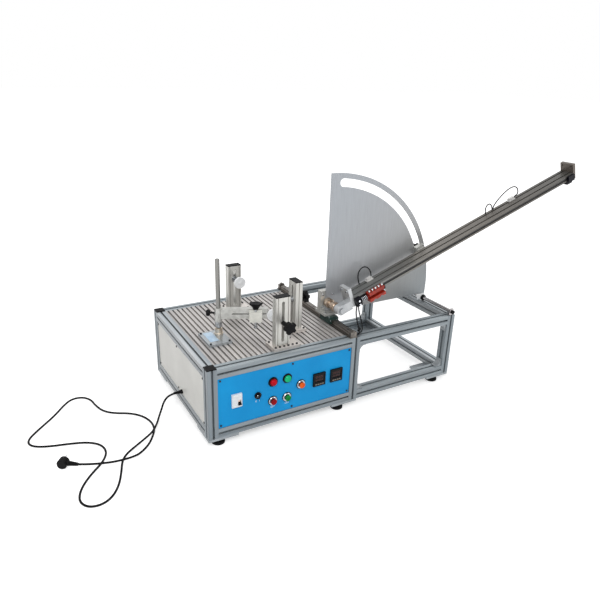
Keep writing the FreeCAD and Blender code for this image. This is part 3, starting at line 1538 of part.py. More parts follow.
CORD_ROUTE = [
    (-16, 297, 54), (-42, 297, 53), (-65, 296, 43), (-80, 293, 22), (-92, 284, 0), (-108, 263, -12),
    (-127, 226, -15), (-157, 178, -15), (-198, 147, -16), (-239, 130, -26), (-275, 110, -31),
    (-301, 76, -31), (-319, 15, -31), (-343, -51, -31), (-376, -100, -31), (-415, -121, -31),
    (-455, -113, -31), (-475, -77, -31), (-468, -34, -31), (-446, 8, -31), (-410, 53, -31),
    (-366, 96, -31), (-338, 148, -31), (-345, 203, -31), (-384, 241, -31), (-441, 262, -31),
    (-528, 283, -31), (-577, 312, -31), (-584, 353, -31), (-546, 402, -31), (-470, 482, -31),
    (-420, 553, -31), (-384, 584, -31), (-342, 578, -31), (-316, 541, -31), (-309, 488, -31),
    (-291, 432, -31), (-256, 396, -31), (-197, 366, -31), (-158, 323, -31), (-139, 268, -31),
    (-141, 219, -31), (-159, 175, -31), (-190, 125, -31), (-232, 88, -31), (-264, 67, -22),
    (-295, 57, -15), (-333, 60, -15), (-372, 71, -15), (-410, 85, -15), (-444, 104, -16),
]


def cord_tube(points, radius):
    """Straight runs joined by tangent arcs, swept with a round section."""
    corners = [Vector(*point) for point in points]
    edges = []
    radii = []
    start = corners[0]
    for before, corner, after in zip(corners, corners[1:], corners[2:]):
        back_run, next_run = before - corner, after - corner
        shorter = min(back_run.Length, next_run.Length)
        back_way = Vector(back_run).normalize()
        next_way = Vector(next_run).normalize()
        half_turn = (math.pi - back_way.getAngle(next_way)) / 2
        reach = 0.45 * shorter
        bend = reach / math.tan(half_turn)
        radii.append(round(bend))
        enter = corner + back_way * reach
        leave = corner + next_way * reach
        middle_way = (back_way + next_way).normalize()
        centre = corner + middle_way * math.hypot(reach, bend)
        top = centre - middle_way * bend
        edges.append(Part.LineSegment(start, enter).toShape())
        edges.append(Part.Arc(enter, top, leave).toShape())
        start = leave
    edges.append(Part.LineSegment(start, corners[-1]).toShape())
    path = Part.Wire(edges)
    first_way = (corners[1] - corners[0]).normalize()
    section = Part.Wire([Part.Circle(corners[0], first_way, radius).toShape()])
    tube = path.makePipeShell([section], True, False)
    return tube, path.Length, radii


cord_shape, cord_length, cord_radii = cord_tube(CORD_ROUTE, cord_diameter.number / 2)
cord_ideal = math.pi * (cord_diameter.number / 2) ** 2 * cord_length
print("cord length", round(cord_length), "tightest bends", sorted(cord_radii)[:6])
print("cord volume over section times length", round(cord_shape.Volume / cord_ideal, 4))
mains_cord = doc.addObject("Part::Feature", "mains_cord_tube")
mains_cord.Shape = cord_shape
keep("mains_cord", mains_cord)

plug_way = Vector(-0.81, 0.586, 0).normalize()
cord_end = Vector(*CORD_ROUTE[-1])
plug_turn = Rotation(Vector(0, 0, 1), math.degrees(math.atan2(plug_way.y, plug_way.x)))
relief = turned(
    [
        (0.0, 0.0),
        (cord_diameter / 2 + 1, 0.0),
        (7.5, plug_relief_length),
        (7.5, plug_relief_length + 8),
        (0.0, plug_relief_length + 8),
    ]
)
place(relief, 0.0, 0.0, 0.0, TO_RIGHT)
plug_centre = plug_relief_length + plug_radius
plug_disc = place(
    turned(
        [
            (0.0, -plug_depth / 2),
            (plug_radius - 4, -plug_depth / 2),
            (plug_radius, -plug_depth / 2 + 5),
            (plug_radius, plug_depth / 2 - 1),
            (plug_radius - 1, plug_depth / 2),
            (0.0, plug_depth / 2),
        ]
    ),
    plug_centre, 0.0, 0.0, TO_FRONT,
)
plug_body = fuse(relief, plug_disc)
plug_pins = [
    rod(plug_centre, -plug_depth / 2 + 0.0, offset, plug_pin_radius, plug_pin_length, TO_FRONT)
    for offset in (-plug_pin_pitch / 2, plug_pin_pitch / 2)
]
keep("mains_plug", group(plug_body, *plug_pins), cord_end.x, cord_end.y, cord_end.z, plug_turn)

# Check and write

doc.recompute()
faults = []
for item in doc.Objects:
    if "Invalid" in item.State or "Error" in item.State:
        faults.append(f"{item.Name} {item.State}")
for piece in kept:
    if piece.Shape.isNull() or not piece.Shape.isValid():
        faults.append(f"{piece.Label} has no valid shape")
if faults:
    raise SystemExit("\n".join(faults))

os.makedirs("parts", exist_ok=True)
for piece in kept:
    piece.Shape.exportStep(f"parts/{piece.Label}.step")
print(len(kept), "sub-parts written")
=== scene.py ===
import json
import math

import bmesh
import bpy
from mathutils import Matrix, Vector

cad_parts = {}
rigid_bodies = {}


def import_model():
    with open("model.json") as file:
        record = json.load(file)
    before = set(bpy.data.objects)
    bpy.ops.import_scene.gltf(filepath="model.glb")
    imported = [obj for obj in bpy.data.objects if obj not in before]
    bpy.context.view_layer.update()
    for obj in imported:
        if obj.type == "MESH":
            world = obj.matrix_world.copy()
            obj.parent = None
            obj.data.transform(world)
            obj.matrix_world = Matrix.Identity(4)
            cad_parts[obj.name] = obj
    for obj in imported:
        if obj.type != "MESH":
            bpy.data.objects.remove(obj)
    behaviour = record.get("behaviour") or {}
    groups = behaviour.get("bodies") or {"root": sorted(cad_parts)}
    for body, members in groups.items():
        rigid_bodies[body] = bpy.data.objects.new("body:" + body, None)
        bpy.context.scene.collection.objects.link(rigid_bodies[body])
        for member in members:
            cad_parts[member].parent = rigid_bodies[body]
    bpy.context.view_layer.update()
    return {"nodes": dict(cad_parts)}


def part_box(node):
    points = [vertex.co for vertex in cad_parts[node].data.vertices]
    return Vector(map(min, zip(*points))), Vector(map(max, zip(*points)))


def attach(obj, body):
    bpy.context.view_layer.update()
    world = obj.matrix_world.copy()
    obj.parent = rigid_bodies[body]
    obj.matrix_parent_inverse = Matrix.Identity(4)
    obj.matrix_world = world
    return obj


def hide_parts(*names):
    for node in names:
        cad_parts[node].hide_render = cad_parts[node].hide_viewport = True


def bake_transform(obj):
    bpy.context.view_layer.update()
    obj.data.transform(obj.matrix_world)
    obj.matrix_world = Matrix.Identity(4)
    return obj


# Looks of the cord reel endurance tester. The CAD frame is loaded first and everything is set on it, in
# metres. Lengths in the lists below are millimetres from the machine frame's front left lower corner.

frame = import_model()
nodes = frame["nodes"]
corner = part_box("frame_posts")[0]
to_corner = Matrix.Translation(corner)
MM = 0.001

for spare in list(bpy.data.objects):
    if spare.type in ("CAMERA", "LIGHT"):
        bpy.data.objects.remove(spare)


def at(x, y, z):
    """A point of the object's frame in metres."""
    return corner + Vector((x, y, z)) * MM


def add_object(name, data):
    """A new object of the scene that shows the given data."""
    made = bpy.data.objects.new(name, data)
    bpy.context.scene.collection.objects.link(made)
    return made


# Camera: the one that was solved from the photograph

camera_data = bpy.data.cameras.new("photo_camera")
camera_data.sensor_width = 36.0
camera_data.lens = 34.71
camera = add_object("photo_camera", camera_data)
camera_place = (-1.6242, -2.01955, 1.3311)
yaw, pitch, roll = 0.5318, 0.3818, 0.0327
forward = Vector((math.cos(pitch) * math.sin(yaw), math.cos(pitch) * math.cos(yaw), -math.sin(pitch)))
level = Vector((math.cos(yaw), -math.sin(yaw), 0.0))
upward = level.cross(forward)
right = level * math.cos(roll) + upward * math.sin(roll)
above = upward * math.cos(roll) - level * math.sin(roll)
turn = Matrix((right, above, -forward)).transposed()
camera.matrix_world = Matrix.Translation(camera_place) @ turn.to_4x4()
bpy.context.scene.camera = camera

# Materials


def shade(value):
    """One channel of a screen colour, 0 to 255, as the linear number that the shaders take."""
    share = value / 255.0
    return share / 12.92 if share <= 0.04045 else ((share + 0.055) / 1.055) ** 2.4


def linear(colour):
    """A screen colour, three channels from 0 to 255, with full cover."""
    return (*map(shade, colour), 1.0)


# How much a pattern is stretched along each direction of a piece
EVEN = (1, 1, 1)
ALONG_X, ALONG_Y, ALONG_Z = (0.03, 1, 1), (1, 0.03, 1), (1, 1, 0.03)

TONE_SPAN = (0.32, 0.68)
EDGE_RADIUS = 0.0004
RELIEF_DEPTH = 0.0005


def add_node(tree, kind, **values):
    node = tree.nodes.new(kind)
    for key, value in values.items():
        if key in node.inputs:
            node.inputs[key].default_value = value
        else:
            setattr(node, key, value)
    return node


def object_place(tree, stretch):
    """Coordinates fixed to the piece, stretched so that a pattern runs along a direction."""
    place = add_node(tree, "ShaderNodeTexCoord")
    mapping = add_node(tree, "ShaderNodeMapping")
    mapping.inputs["Scale"].default_value = stretch
    tree.links.new(place.outputs["Object"], mapping.inputs["Vector"])
    return mapping.outputs["Vector"]


def noise(tree, stretch, scale, detail=3.0):
    texture = add_node(tree, "ShaderNodeTexNoise", Scale=scale, Detail=detail)
    tree.links.new(object_place(tree, stretch), texture.inputs["Vector"])
    return texture.outputs["Fac"]


def finish_of(name, colour, other, rough, metal=0.0, grain=EVEN, scale=30.0, fine=600.0, bump=0.05,
              specular=0.5):
    """A surface whose colour and gloss wander between two values, with a fine relief and softened edges.

    scale is that of the colour's pattern, fine that of the gloss and the relief.
    """
    material = bpy.data.materials.new(name)
    material.use_nodes = True
    tree = material.node_tree
    shader = tree.nodes["Principled BSDF"]
    shader.inputs["Metallic"].default_value = metal
    shader.inputs["Specular IOR Level"].default_value = specular
    ramp = add_node(tree, "ShaderNodeValToRGB")
    for element, position, tone in zip(ramp.color_ramp.elements, TONE_SPAN, (other, colour)):
        element.position = position
        element.color = linear(tone)
    tree.links.new(noise(tree, grain, scale), ramp.inputs["Fac"])
    tree.links.new(ramp.outputs["Color"], shader.inputs["Base Color"])
    close = noise(tree, grain, fine, 4.0)
    span = add_node(tree, "ShaderNodeMapRange")
    span.inputs["To Min"].default_value = rough[0]
    span.inputs["To Max"].default_value = rough[1]
    tree.links.new(close, span.inputs["Value"])
    tree.links.new(span.outputs["Result"], shader.inputs["Roughness"])
    rounded = add_node(tree, "ShaderNodeBevel", samples=4)
    rounded.inputs["Radius"].default_value = EDGE_RADIUS
    relief = add_node(tree, "ShaderNodeBump", Strength=bump, Distance=RELIEF_DEPTH)
    tree.links.new(close, relief.inputs["Height"])
    tree.links.new(rounded.outputs["Normal"], relief.inputs["Normal"])
    tree.links.new(relief.outputs["Normal"], shader.inputs["Normal"])
    return material


anodised = {}
for key, grain, tone in (("x", ALONG_X, (144, 152, 156)), ("y", ALONG_Y, (150, 153, 155)),
                         ("z", ALONG_Z, (131, 139, 144))):
    anodised[key] = finish_of(f"anodised_{key}", tone, (116, 123, 128), (0.34, 0.5), 0.55, grain, 60.0,
                              900.0, 0.12)
table_metal = finish_of("table_planks", (194, 190, 187), (168, 165, 164), (0.32, 0.5), 0.5,
                        (1.0, 0.05, 1.0), 26.0, 700.0, 0.15)
bezel_metal = finish_of("bezel_plating", (192, 195, 200), (150, 154, 162), (0.12, 0.3), 0.9, EVEN, 90.0)
slider_nylon = finish_of("slider_nylon", (226, 225, 217), (208, 208, 200), (0.36, 0.5), 0.0, EVEN, 50.0,
                         1200.0, 0.12)
cast = finish_of("die_cast", (160, 165, 168), (140, 145, 149), (0.42, 0.6), 0.4, EVEN, 90.0, 1400.0, 0.3)
plate_metal = finish_of("milled_plate", (190, 192, 194), (166, 169, 172), (0.28, 0.44), 0.5, EVEN, 40.0,
                        1100.0, 0.1)
bracket_metal = finish_of("bracket_plate", (192, 192, 188), (168, 168, 164), (0.3, 0.46), 0.5, EVEN, 60.0,
                          1100.0, 0.1)
foot_metal = finish_of("foot_plate", (158, 164, 168), (140, 146, 150), (0.36, 0.5), 0.5, EVEN, 30.0)
steel = finish_of("bright_steel", (178, 180, 182), (150, 153, 156), (0.18, 0.32), 0.9, EVEN, 60.0, 1500.0,
                  0.04)
rod_steel = finish_of("rod_steel", (176, 173, 174), (150, 147, 148), (0.14, 0.24), 0.9, ALONG_Y, 60.0,
                      1500.0, 0.04)
dark_steel = finish_of("rail_steel", (128, 122, 116), (96, 92, 88), (0.24, 0.38), 0.8, ALONG_Y, 60.0,
                       1200.0, 0.06)
black_oxide = finish_of("black_oxide_screws", (52, 52, 56), (32, 32, 36), (0.3, 0.46), 0.7, EVEN, 300.0)
chrome = finish_of("chrome", (225, 227, 230), (205, 208, 212), (0.06, 0.14), 1.0, EVEN, 50.0, 900.0, 0.01)
white_paint = finish_of("cabinet_paint", (218, 217, 212), (208, 207, 202), (0.4, 0.52), 0.0, EVEN, 8.0,
                        1500.0, 0.18)
blue_paint = finish_of("panel_print", (6, 148, 212), (2, 138, 202), (0.4, 0.52), 0.0, EVEN, 7.0, 1600.0,
                       0.12, specular=0.2)
black_plastic = finish_of("moulded_black", (14, 14, 16), (6, 6, 8), (0.42, 0.58), 0.0, EVEN, 60.0, 1800.0,
                          0.3, specular=0.1)
gloss_black = finish_of("gloss_black", (14, 14, 17), (7, 7, 10), (0.2, 0.3), 0.0, EVEN, 40.0, specular=0.12)
rubber = finish_of("foot_rubber", (15, 16, 18), (8, 9, 11), (0.55, 0.75), 0.0, EVEN, 70.0, 1500.0, 0.35,
                   specular=0.12)
cord_rubber = finish_of("cord_sheath", (12, 12, 14), (5, 5, 7), (0.4, 0.54), 0.0, EVEN, 40.0, 1300.0, 0.15,
                        specular=0.1)
white_plastic = finish_of("switch_white", (226, 230, 233), (214, 218, 222), (0.34, 0.46), 0.0, EVEN, 40.0,
                          1500.0, 0.12)
nylon = finish_of("white_nylon", (236, 237, 238), (222, 224, 226), (0.32, 0.44), 0.0, EVEN, 50.0, 1200.0,
                  0.1)
grey_enamel = finish_of("module_enamel", (150, 152, 154), (132, 134, 137), (0.4, 0.55), 0.1, EVEN, 40.0)
green_enamel = finish_of("block_green", (38, 66, 60), (24, 46, 44), (0.28, 0.42), 0.3, EVEN, 90.0, 1200.0,
                         0.15)
bronze = finish_of("turned_bronze", (206, 190, 172), (136, 114, 96), (0.2, 0.34), 0.85, EVEN, 90.0, 900.0,
                   0.1)
drive_paint = finish_of("drive_dark_blue", (12, 12, 24), (4, 4, 9), (0.22, 0.38), 0.1, EVEN, 120.0,
                        specular=0.15)
orange_anodised = finish_of("gripper_orange", (176, 46, 22), (118, 20, 8), (0.24, 0.38), 0.2, EVEN, 80.0,
                            1100.0, 0.15)
sensor_white = finish_of("sensor_case", (214, 214, 212), (188, 186, 184), (0.36, 0.5), 0.1, EVEN, 120.0)
belt_rubber = finish_of("belt_rubber", (34, 34, 36), (22, 22, 24), (0.5, 0.66), 0.0, EVEN, 200.0)
red_gloss = finish_of("red_gloss", (190, 2, 26), (140, 0, 14), (0.14, 0.22), 0.0, EVEN, 60.0, specular=0.1)
green_gloss = finish_of("green_gloss", (24, 206, 140), (6, 166, 104), (0.14, 0.22), 0.0, EVEN, 60.0,
                        specular=0.12)
red_button = finish_of("red_button_plastic", (170, 2, 12), (128, 0, 6), (0.2, 0.3), 0.0, EVEN, 60.0,
                       specular=0.1)
green_button = finish_of("green_button_plastic", (14, 146, 64), (2, 110, 42), (0.2, 0.3), 0.0, EVEN, 60.0,
                         specular=0.1)
orange_button = finish_of("orange_button_plastic", (234, 98, 28), (204, 70, 12), (0.2, 0.3), 0.0, EVEN,
                          60.0, specular=0.1)
display_glass = finish_of("display_glass", (18, 22, 22), (9, 11, 13), (0.1, 0.16), 0.0, EVEN, 60.0,
                          specular=0.15)
digit_red = finish_of("digit_red", (92, 40, 36), (76, 30, 28), (0.4, 0.5), 0.0, EVEN, 80.0)
key_grey = finish_of("key_grey", (120, 112, 100), (96, 90, 82), (0.4, 0.55), 0.0, EVEN, 120.0)
legend_white = finish_of("legend_white", (236, 240, 244), (222, 228, 236), (0.45, 0.6), 0.0, EVEN, 90.0)
label_pink = finish_of("breaker_label", (238, 206, 190), (228, 190, 172), (0.4, 0.5), 0.0, EVEN, 60.0)
bare_plate = finish_of("bare_plate", (186, 208, 226), (158, 186, 212), (0.26, 0.4), 0.2, EVEN, 40.0)


BRUSHED_SCALE, BRUSHED_FINE = 60.0, 1000.0
STREAK_SCALE = 240.0
STREAK_TONES = (0.86, 1.1)


def tint_base(tree, colour, factor):
    """Sets a material's base colour to a colour times a factor, both given as sockets."""
    tint = add_node(tree, "ShaderNodeVectorMath", operation="SCALE")
    tree.links.new(colour, tint.inputs[0])
    tree.links.new(factor, tint.inputs["Scale"])
    tree.links.new(tint.outputs["Vector"], tree.nodes["Principled BSDF"].inputs["Base Color"])


def graded(name, stops, start, end, rough, metal, grain, bump=0.1, steps=False):
    """A brushed metal whose tone runs, or changes in steps, from one end of the piece to the other."""
    material = finish_of(name, stops[0][1], stops[-1][1], rough, metal, grain, BRUSHED_SCALE,
                         BRUSHED_FINE, bump)
    tree = material.node_tree
    place = add_node(tree, "ShaderNodeTexCoord")
    along = Vector(end) - Vector(start)
    offset = add_node(tree, "ShaderNodeVectorMath", operation="SUBTRACT")
    offset.inputs[1].default_value = Vector(start)
    tree.links.new(place.outputs["Object"], offset.inputs[0])
    reach = add_node(tree, "ShaderNodeVectorMath", operation="DOT_PRODUCT")
    reach.inputs[1].default_value = along / along.length_squared
    tree.links.new(offset.outputs["Vector"], reach.inputs[0])
    ramp = add_node(tree, "ShaderNodeValToRGB")
    if steps:
        ramp.color_ramp.interpolation = "CONSTANT"
    while len(ramp.color_ramp.elements) < len(stops):
        ramp.color_ramp.elements.new(0.5)
    for element, (position, colour) in zip(ramp.color_ramp.elements, stops):
        element.position = position
        element.color = linear(colour)
    tree.links.new(reach.outputs["Value"], ramp.inputs["Fac"])
    streaks = add_node(tree, "ShaderNodeMapRange")
    streaks.inputs["To Min"].default_value, streaks.inputs["To Max"].default_value = STREAK_TONES
    tree.links.new(noise(tree, grain, STREAK_SCALE), streaks.inputs["Value"])
    tint_base(tree, ramp.outputs["Color"], streaks.outputs["Result"])
    return material


arm_tilt = math.radians(19.2)
pivot = at(630, 0, 372)
arm_frame = Matrix.Translation(pivot) @ Matrix.Rotation(-arm_tilt, 4, "Y")


def on_arm(u, y, n):
    """A point of the arm in metres: u along the beam from the pivot, n square to it."""
    return arm_frame @ (Vector((u, y, n)) * MM)


def arm_way(u, y, n):
    """A direction that turns with the arm."""
    return arm_frame.to_3x3() @ Vector((u, y, n))


# Painted reflection: the arm beam is painted darker and browner from the pivot toward its tip.
arm_metal_painted_reflection = graded(
    "arm_profile",
    [(0.0, (126, 128, 127)), (0.3, (112, 109, 104)), (0.6, (98, 94, 89)), (1.0, (84, 83, 80))],
    on_arm(69, 138, 10), on_arm(1414, 138, 10), (0.3, 0.46), 0.6, (0.08, 1, 0.4),
)
# Painted shade: the quadrant sheet is painted darker toward its lower right, under the arm, and lighter
# toward its upper left.
quadrant_metal_painted_shade = graded(
    "quadrant_sheet",
    [(0.0, (134, 139, 142)), (0.28, (154, 155, 155)), (0.6, (157, 159, 162)), (1.0, (158, 162, 167))],
    at(1180, 205, 400), at(700, 205, 820), (0.36, 0.5), 0.45, (1, 1, 0.05), 0.06,
)

# The post stand and the columns change tone with height, where a collar or a base ends
TABLE_TOP = 290
stand_metal = graded(
    "stand", [(0.0, (172, 178, 182)), (0.104, (196, 184, 168)), (0.364, (126, 125, 122))],
    at(0, 0, TABLE_TOP), at(0, 0, TABLE_TOP + 100), (0.22, 0.36), 0.7, ALONG_Z, steps=True,
)
column_metal = graded(
    "columns", [(0.0, (214, 208, 203)), (0.124, (194, 193, 188))],
    at(0, 0, TABLE_TOP), at(0, 0, TABLE_TOP + 100), (0.3, 0.46), 0.6, ALONG_Z, 0.12, steps=True,
)

# The plates at the arm's two ends differ: bright beside the pivot, brownish at the tip
arm_plates_metal = graded(
    "arm_plates", [(0.0, (192, 194, 196)), (0.5, (96, 89, 83))],
    Vector((0.0, 0.0, 0.0)), Vector((0.4, 0.0, 0.0)), (0.3, 0.46), 0.5, EVEN, steps=True,
)


def paint_light_by_facing(material, start, end, low, high):
    """Painted reflection and painted shade: scales the colour by how far the surface faces up. Faces that
    look up are painted lighter, as if they showed the bright room over them, and faces that look down are
    painted darker.

    The factor runs from low to high while the normal's upward part runs from start to end.
    """
    tree = material.node_tree
    colour = tree.nodes["Principled BSDF"].inputs["Base Color"].links[0].from_socket
    parts = add_node(tree, "ShaderNodeSeparateXYZ")
    tree.links.new(add_node(tree, "ShaderNodeNewGeometry").outputs["Normal"], parts.inputs[0])
    span = add_node(tree, "ShaderNodeMapRange")
    for key, value in (("From Min", start), ("From Max", end), ("To Min", low), ("To Max", high)):
        span.inputs[key].default_value = value
    tree.links.new(parts.outputs["Z"], span.inputs["Value"])
    tint_base(tree, colour, span.outputs["Result"])


# Painted reflection and painted shade: the guide rod is painted bright on top and near black underneath, and
# the tops of the cross rails and long rails are painted lighter.
paint_light_by_facing(rod_steel, -0.45, 0.1, 0.06, 1.3)
paint_light_by_facing(anodised["y"], 0.7, 0.95, 1.0, 1.75)
paint_light_by_facing(anodised["x"], 0.7, 0.95, 1.0, 1.3)

dressing = {
    anodised["x"]: ["long_rails"],
    anodised["y"]: ["cross_rails"],
    anodised["z"]: ["frame_posts"],
    cast: ["corner_gussets"],
    foot_metal: ["foot_plates"],
    rubber: ["leveling_feet"],
    white_paint: ["cabinet_panels"],
    blue_paint: ["control_panel"],
    black_oxide: ["panel_screws"],
    white_plastic: ["breaker_body"],
    bezel_metal: ["switch_bezels"],
    red_button: ["red_button"],
    green_button: ["green_button"],
    orange_button: ["orange_button"],
    red_gloss: ["red_lamp_lens"],
    green_gloss: ["green_lamp_lens"],
    gloss_black: ["counter_displays", "selector_knob"],
    grey_enamel: ["control_modules"],
    table_metal: ["worktable"],
    black_plastic: ["end_caps", "breaker_lever", "front_star_knob", "side_star_knob", "sleeve_knob",
                    "arc_clamp_knob", "cord_gland"],
    column_metal: ["fixture_columns"],
    stand_metal: ["post_stand"],
    rod_steel: ["guide_rod"],
    steel: ["hold_down_spindle", "stop_collar", "rear_clamp_shaft", "front_clamp_shaft", "side_clamp_shaft",
            "pivot_bolt", "drive_pulley", "idler_pulley", "gripper_screws"],
    nylon: ["rear_clamp_disc", "front_clamp_disc", "rod_bushing"],
    slider_nylon: ["bar_slider"],
    plate_metal: ["hinge_bar"],
    arm_plates_metal: ["arm_end_plates"],
    bracket_metal: ["guide_bar", "carriage_bracket", "arc_clamp_bracket"],
    dark_steel: ["linear_rail"],
    green_enamel: ["bearing_block"],
    quadrant_metal_painted_shade: ["quadrant_plate"],
    bronze: ["pivot_bushing"],
    arm_metal_painted_reflection: ["arm_beam"],
    belt_rubber: ["drive_belt"],
    drive_paint: ["belt_drive_units"],
    orange_anodised: ["gripper_body", "gripper_jaw"],
    sensor_white: ["limit_sensors"],
    cord_rubber: ["mains_cord", "mains_plug"],
}
for material, names in dressing.items():
    for name in names:
        for slot in nodes[name].material_slots:
            slot.material = material

# Making pieces

UP, FRONT = (0, 0, 1), (0, -1, 0)


def facing(place, way):
    """A frame at a place whose Z points along a direction."""
    return Matrix.Translation(place) @ Vector(way).normalized().to_track_quat("Z", "Y").to_matrix().to_4x4()


def hex_reach(angle):
    """How far a hexagon's side lies from its middle at an angle, for a flat half width of 1."""
    return 1.0 / math.cos((angle % (math.pi / 3)) - math.pi / 6)


def skin(mesh, rings):
    """Closes a stack of equal rings with side faces and two ends."""
    segments = len(rings[0])
    for lower, upper in zip(rings, rings[1:]):
        for step in range(segments):
            after = (step + 1) % segments
            mesh.faces.new((lower[step], lower[after], upper[after], upper[step]))
    mesh.faces.new(list(reversed(rings[0])))
    mesh.faces.new(rings[-1])


def add_turned(mesh, frame_of, profile, segments=24):
    """A closed turned form from (radius, height) points in mm. A third value makes a ring six-sided."""
    rings = []
    for point in profile:
        radius, height = point[0] * MM, point[1] * MM
        ring = []
        for step in range(segments):
            angle = math.tau * step / segments
            reach = radius * (hex_reach(angle) if len(point) > 2 else 1.0)
            place = Vector((reach * math.cos(angle), reach * math.sin(angle), height))
            ring.append(mesh.verts.new(frame_of @ place))
        rings.append(ring)
    skin(mesh, rings)


def add_ring(mesh, frame_of, inner, outer, low, high, segments=40):
    """A flat ring with softened outer and inner corners, in mm."""
    soft = min(0.5, (outer - inner) / 4)
    profile = [(outer, low), (outer, high - soft), (outer - soft, high), (inner + soft, high),
               (inner, high - soft), (inner, low)]
    rings = []
    for radius, height in profile:
        ring = []
        for step in range(segments):
            angle = math.tau * step / segments
            place = Vector((radius * math.cos(angle), radius * math.sin(angle), height)) * MM
            ring.append(mesh.verts.new(frame_of @ place))
        rings.append(ring)
    for index, ring in enumerate(rings):
        following = rings[(index + 1) % len(rings)]
        for step in range(segments):
            after = (step + 1) % segments
            mesh.faces.new((ring[step], ring[after], following[after], following[step]))


def add_socket_screw(mesh, place, way, radius=4.0, height=4.0):
    """A cap screw with a hexagon socket, seated on a surface."""
    socket = radius * 0.5
    add_turned(mesh, facing(place, way), [
        (radius, -0.6), (radius, height - 0.6), (radius - 0.6, height),
        (socket, height, "hex"), (socket, height * 0.4, "hex"), (socket * 0.2, height * 0.38),
    ])


def add_block(mesh, frame_of, low, high, chamfer=0.6):
    """A block between two corners in mm with chamfered edges."""
    low, high = Vector(low) * MM, Vector(high) * MM
    middle, span = (low + high) / 2, high - low
    shape = frame_of @ Matrix.Translation(middle) @ Matrix.Diagonal((*span, 1.0))
    made = bmesh.ops.create_cube(mesh, size=1.0, matrix=shape)
    edges = list({edge for vert in made["verts"] for edge in vert.link_edges})
    if chamfer:
        bmesh.ops.bevel(mesh, geom=edges, offset=chamfer * MM, segments=2, affect="EDGES", profile=0.6)


SHARP_EDGE = math.radians(32)


def piece(name, material, body, build):
    """One mesh piece that rides on a body."""
    mesh = bmesh.new()
    build(mesh)
    data = bpy.data.meshes.new(name)
    mesh.to_mesh(data)
    mesh.free()
    data.materials.append(material)
    made = add_object(name, data)
    data.shade_smooth()
    data.set_sharp_from_angle(angle=SHARP_EDGE)
    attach(made, body)
    return made


def wire(name, points, radius, material):
    """A smooth round lead whose spline has the given points as its control points."""
    data = bpy.data.curves.new(name, "CURVE")
    data.dimensions = "3D"
    data.bevel_depth = radius
    data.bevel_resolution = 5
    data.resolution_u = 10
    data.use_fill_caps = True
    spline = data.splines.new("NURBS")
    spline.points.add(len(points) - 1)
    for control, point in zip(spline.points, points):
        control.co = (*point, 1.0)
    spline.order_u = 3
    spline.use_endpoint_u = True
    data.materials.append(material)
    return add_object(name, data)


# Mains cord, its strain relief and its plug

CORD_ROUTE = [
    (-16, 297, 54), (-42, 297, 53), (-65, 296, 43), (-80, 293, 22), (-92, 284, 0), (-108, 263, -12),
    (-127, 226, -15), (-157, 178, -15), (-198, 147, -16), (-239, 130, -26), (-275, 110, -31),
    (-301, 76, -31), (-319, 15, -31), (-343, -51, -31), (-376, -100, -31), (-415, -121, -31),
    (-455, -113, -31), (-475, -77, -31), (-468, -34, -31), (-446, 8, -31), (-410, 53, -31),
    (-366, 96, -31), (-338, 148, -31), (-345, 203, -31), (-384, 241, -31), (-441, 262, -31),
    (-528, 283, -31), (-577, 312, -31), (-584, 353, -31), (-546, 402, -31), (-470, 482, -31),
    (-420, 553, -31), (-384, 584, -31), (-342, 578, -31), (-316, 541, -31), (-309, 488, -31),
    (-291, 432, -31), (-256, 396, -31), (-197, 366, -31), (-158, 323, -31), (-139, 268, -31),
    (-141, 219, -31), (-159, 175, -31), (-190, 125, -31), (-232, 88, -31), (-264, 67, -22),
    (-295, 57, -15), (-333, 60, -15), (-372, 71, -15), (-410, 85, -15), (-444, 104, -16),
]
cord_points = [at(*point) for point in CORD_ROUTE]
CORD_RADIUS = 0.004
mains_cord = wire("mains_cord_sheath", cord_points, CORD_RADIUS, cord_rubber)
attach(mains_cord, "machine_frame")
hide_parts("mains_cord")


def ribs(count, start, pitch, radius, growth, width, gap_end):
    """Profile points of ribs round a sleeve. Each is a little thicker than the one before."""
    points = []
    for rib in range(count):
        base = start + rib * pitch
        swell = radius + rib * growth
        groove = swell - 0.8
        points += [(swell, base), (swell, base + width),
                   (groove, base + width + 0.4), (groove, base + gap_end)]
    return points


def build_relief(mesh):
    add_turned(mesh, facing(at(0, 297, 54), (1, 0, 0)), [
        (4.2, -34.0), (4.6, -33.0), *ribs(7, -31.0, 3.4, 5.0, 0.32, 2.0, 3.0), (7.4, -6.6), (7.4, 0.5),
    ], 32)


relief = piece("gland_strain_relief", cord_rubber, "machine_frame", build_relief)
plug_way = Vector((-0.81, 0.586, 0.0)).normalized()
plug_far = Vector((plug_way.y, -plug_way.x, 0.0))
plug_start = cord_points[-1]


def plug_point(along, across, up):
    return plug_start + (plug_way * along + plug_far * across + Vector((0, 0, up))) * MM


PLUG_MIDDLE = 57.0
PLUG_FACE = 14.6


def build_plug(mesh):
    neck = [(4.3, 0.5), (5.4, 1.5), *ribs(8, 3.0, 3.9, 6.2, 0.36, 2.4, 3.6), (9.0, 35.0), (9.2, 45.0)]
    add_turned(mesh, facing(plug_start, plug_way), neck, 32)
    add_turned(mesh, facing(plug_point(PLUG_MIDDLE, 0.0, 0.0), plug_far), [
        (12.0, -14.6), (16.0, -14.6), (18.6, -11.0), (18.6, -4.0), (17.9, -3.4), (17.9, -1.8), (18.6, -1.2),
        (18.6, 12.6), (17.6, 14.4), (13.0, 14.6), (12.4, 14.0), (6.0, 14.0),
    ], 48)


plug = piece("plug_body", cord_rubber, "machine_frame", build_plug)
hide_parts("mains_plug")


def build_pins(mesh):
    for offset in (-9.5, 9.5):
        place = plug_point(PLUG_MIDDLE, PLUG_FACE, offset)
        add_turned(mesh, facing(place, plug_far), [(2.3, -0.4), (2.3, 17.0), (1.6, 18.6), (0.6, 18.8)], 20)


pins = piece("plug_pins", chrome, "machine_frame", build_pins)

# Screws on the frame, the plates and the stands

GUSSET_WALL, GUSSET_HOLE = 5, 19


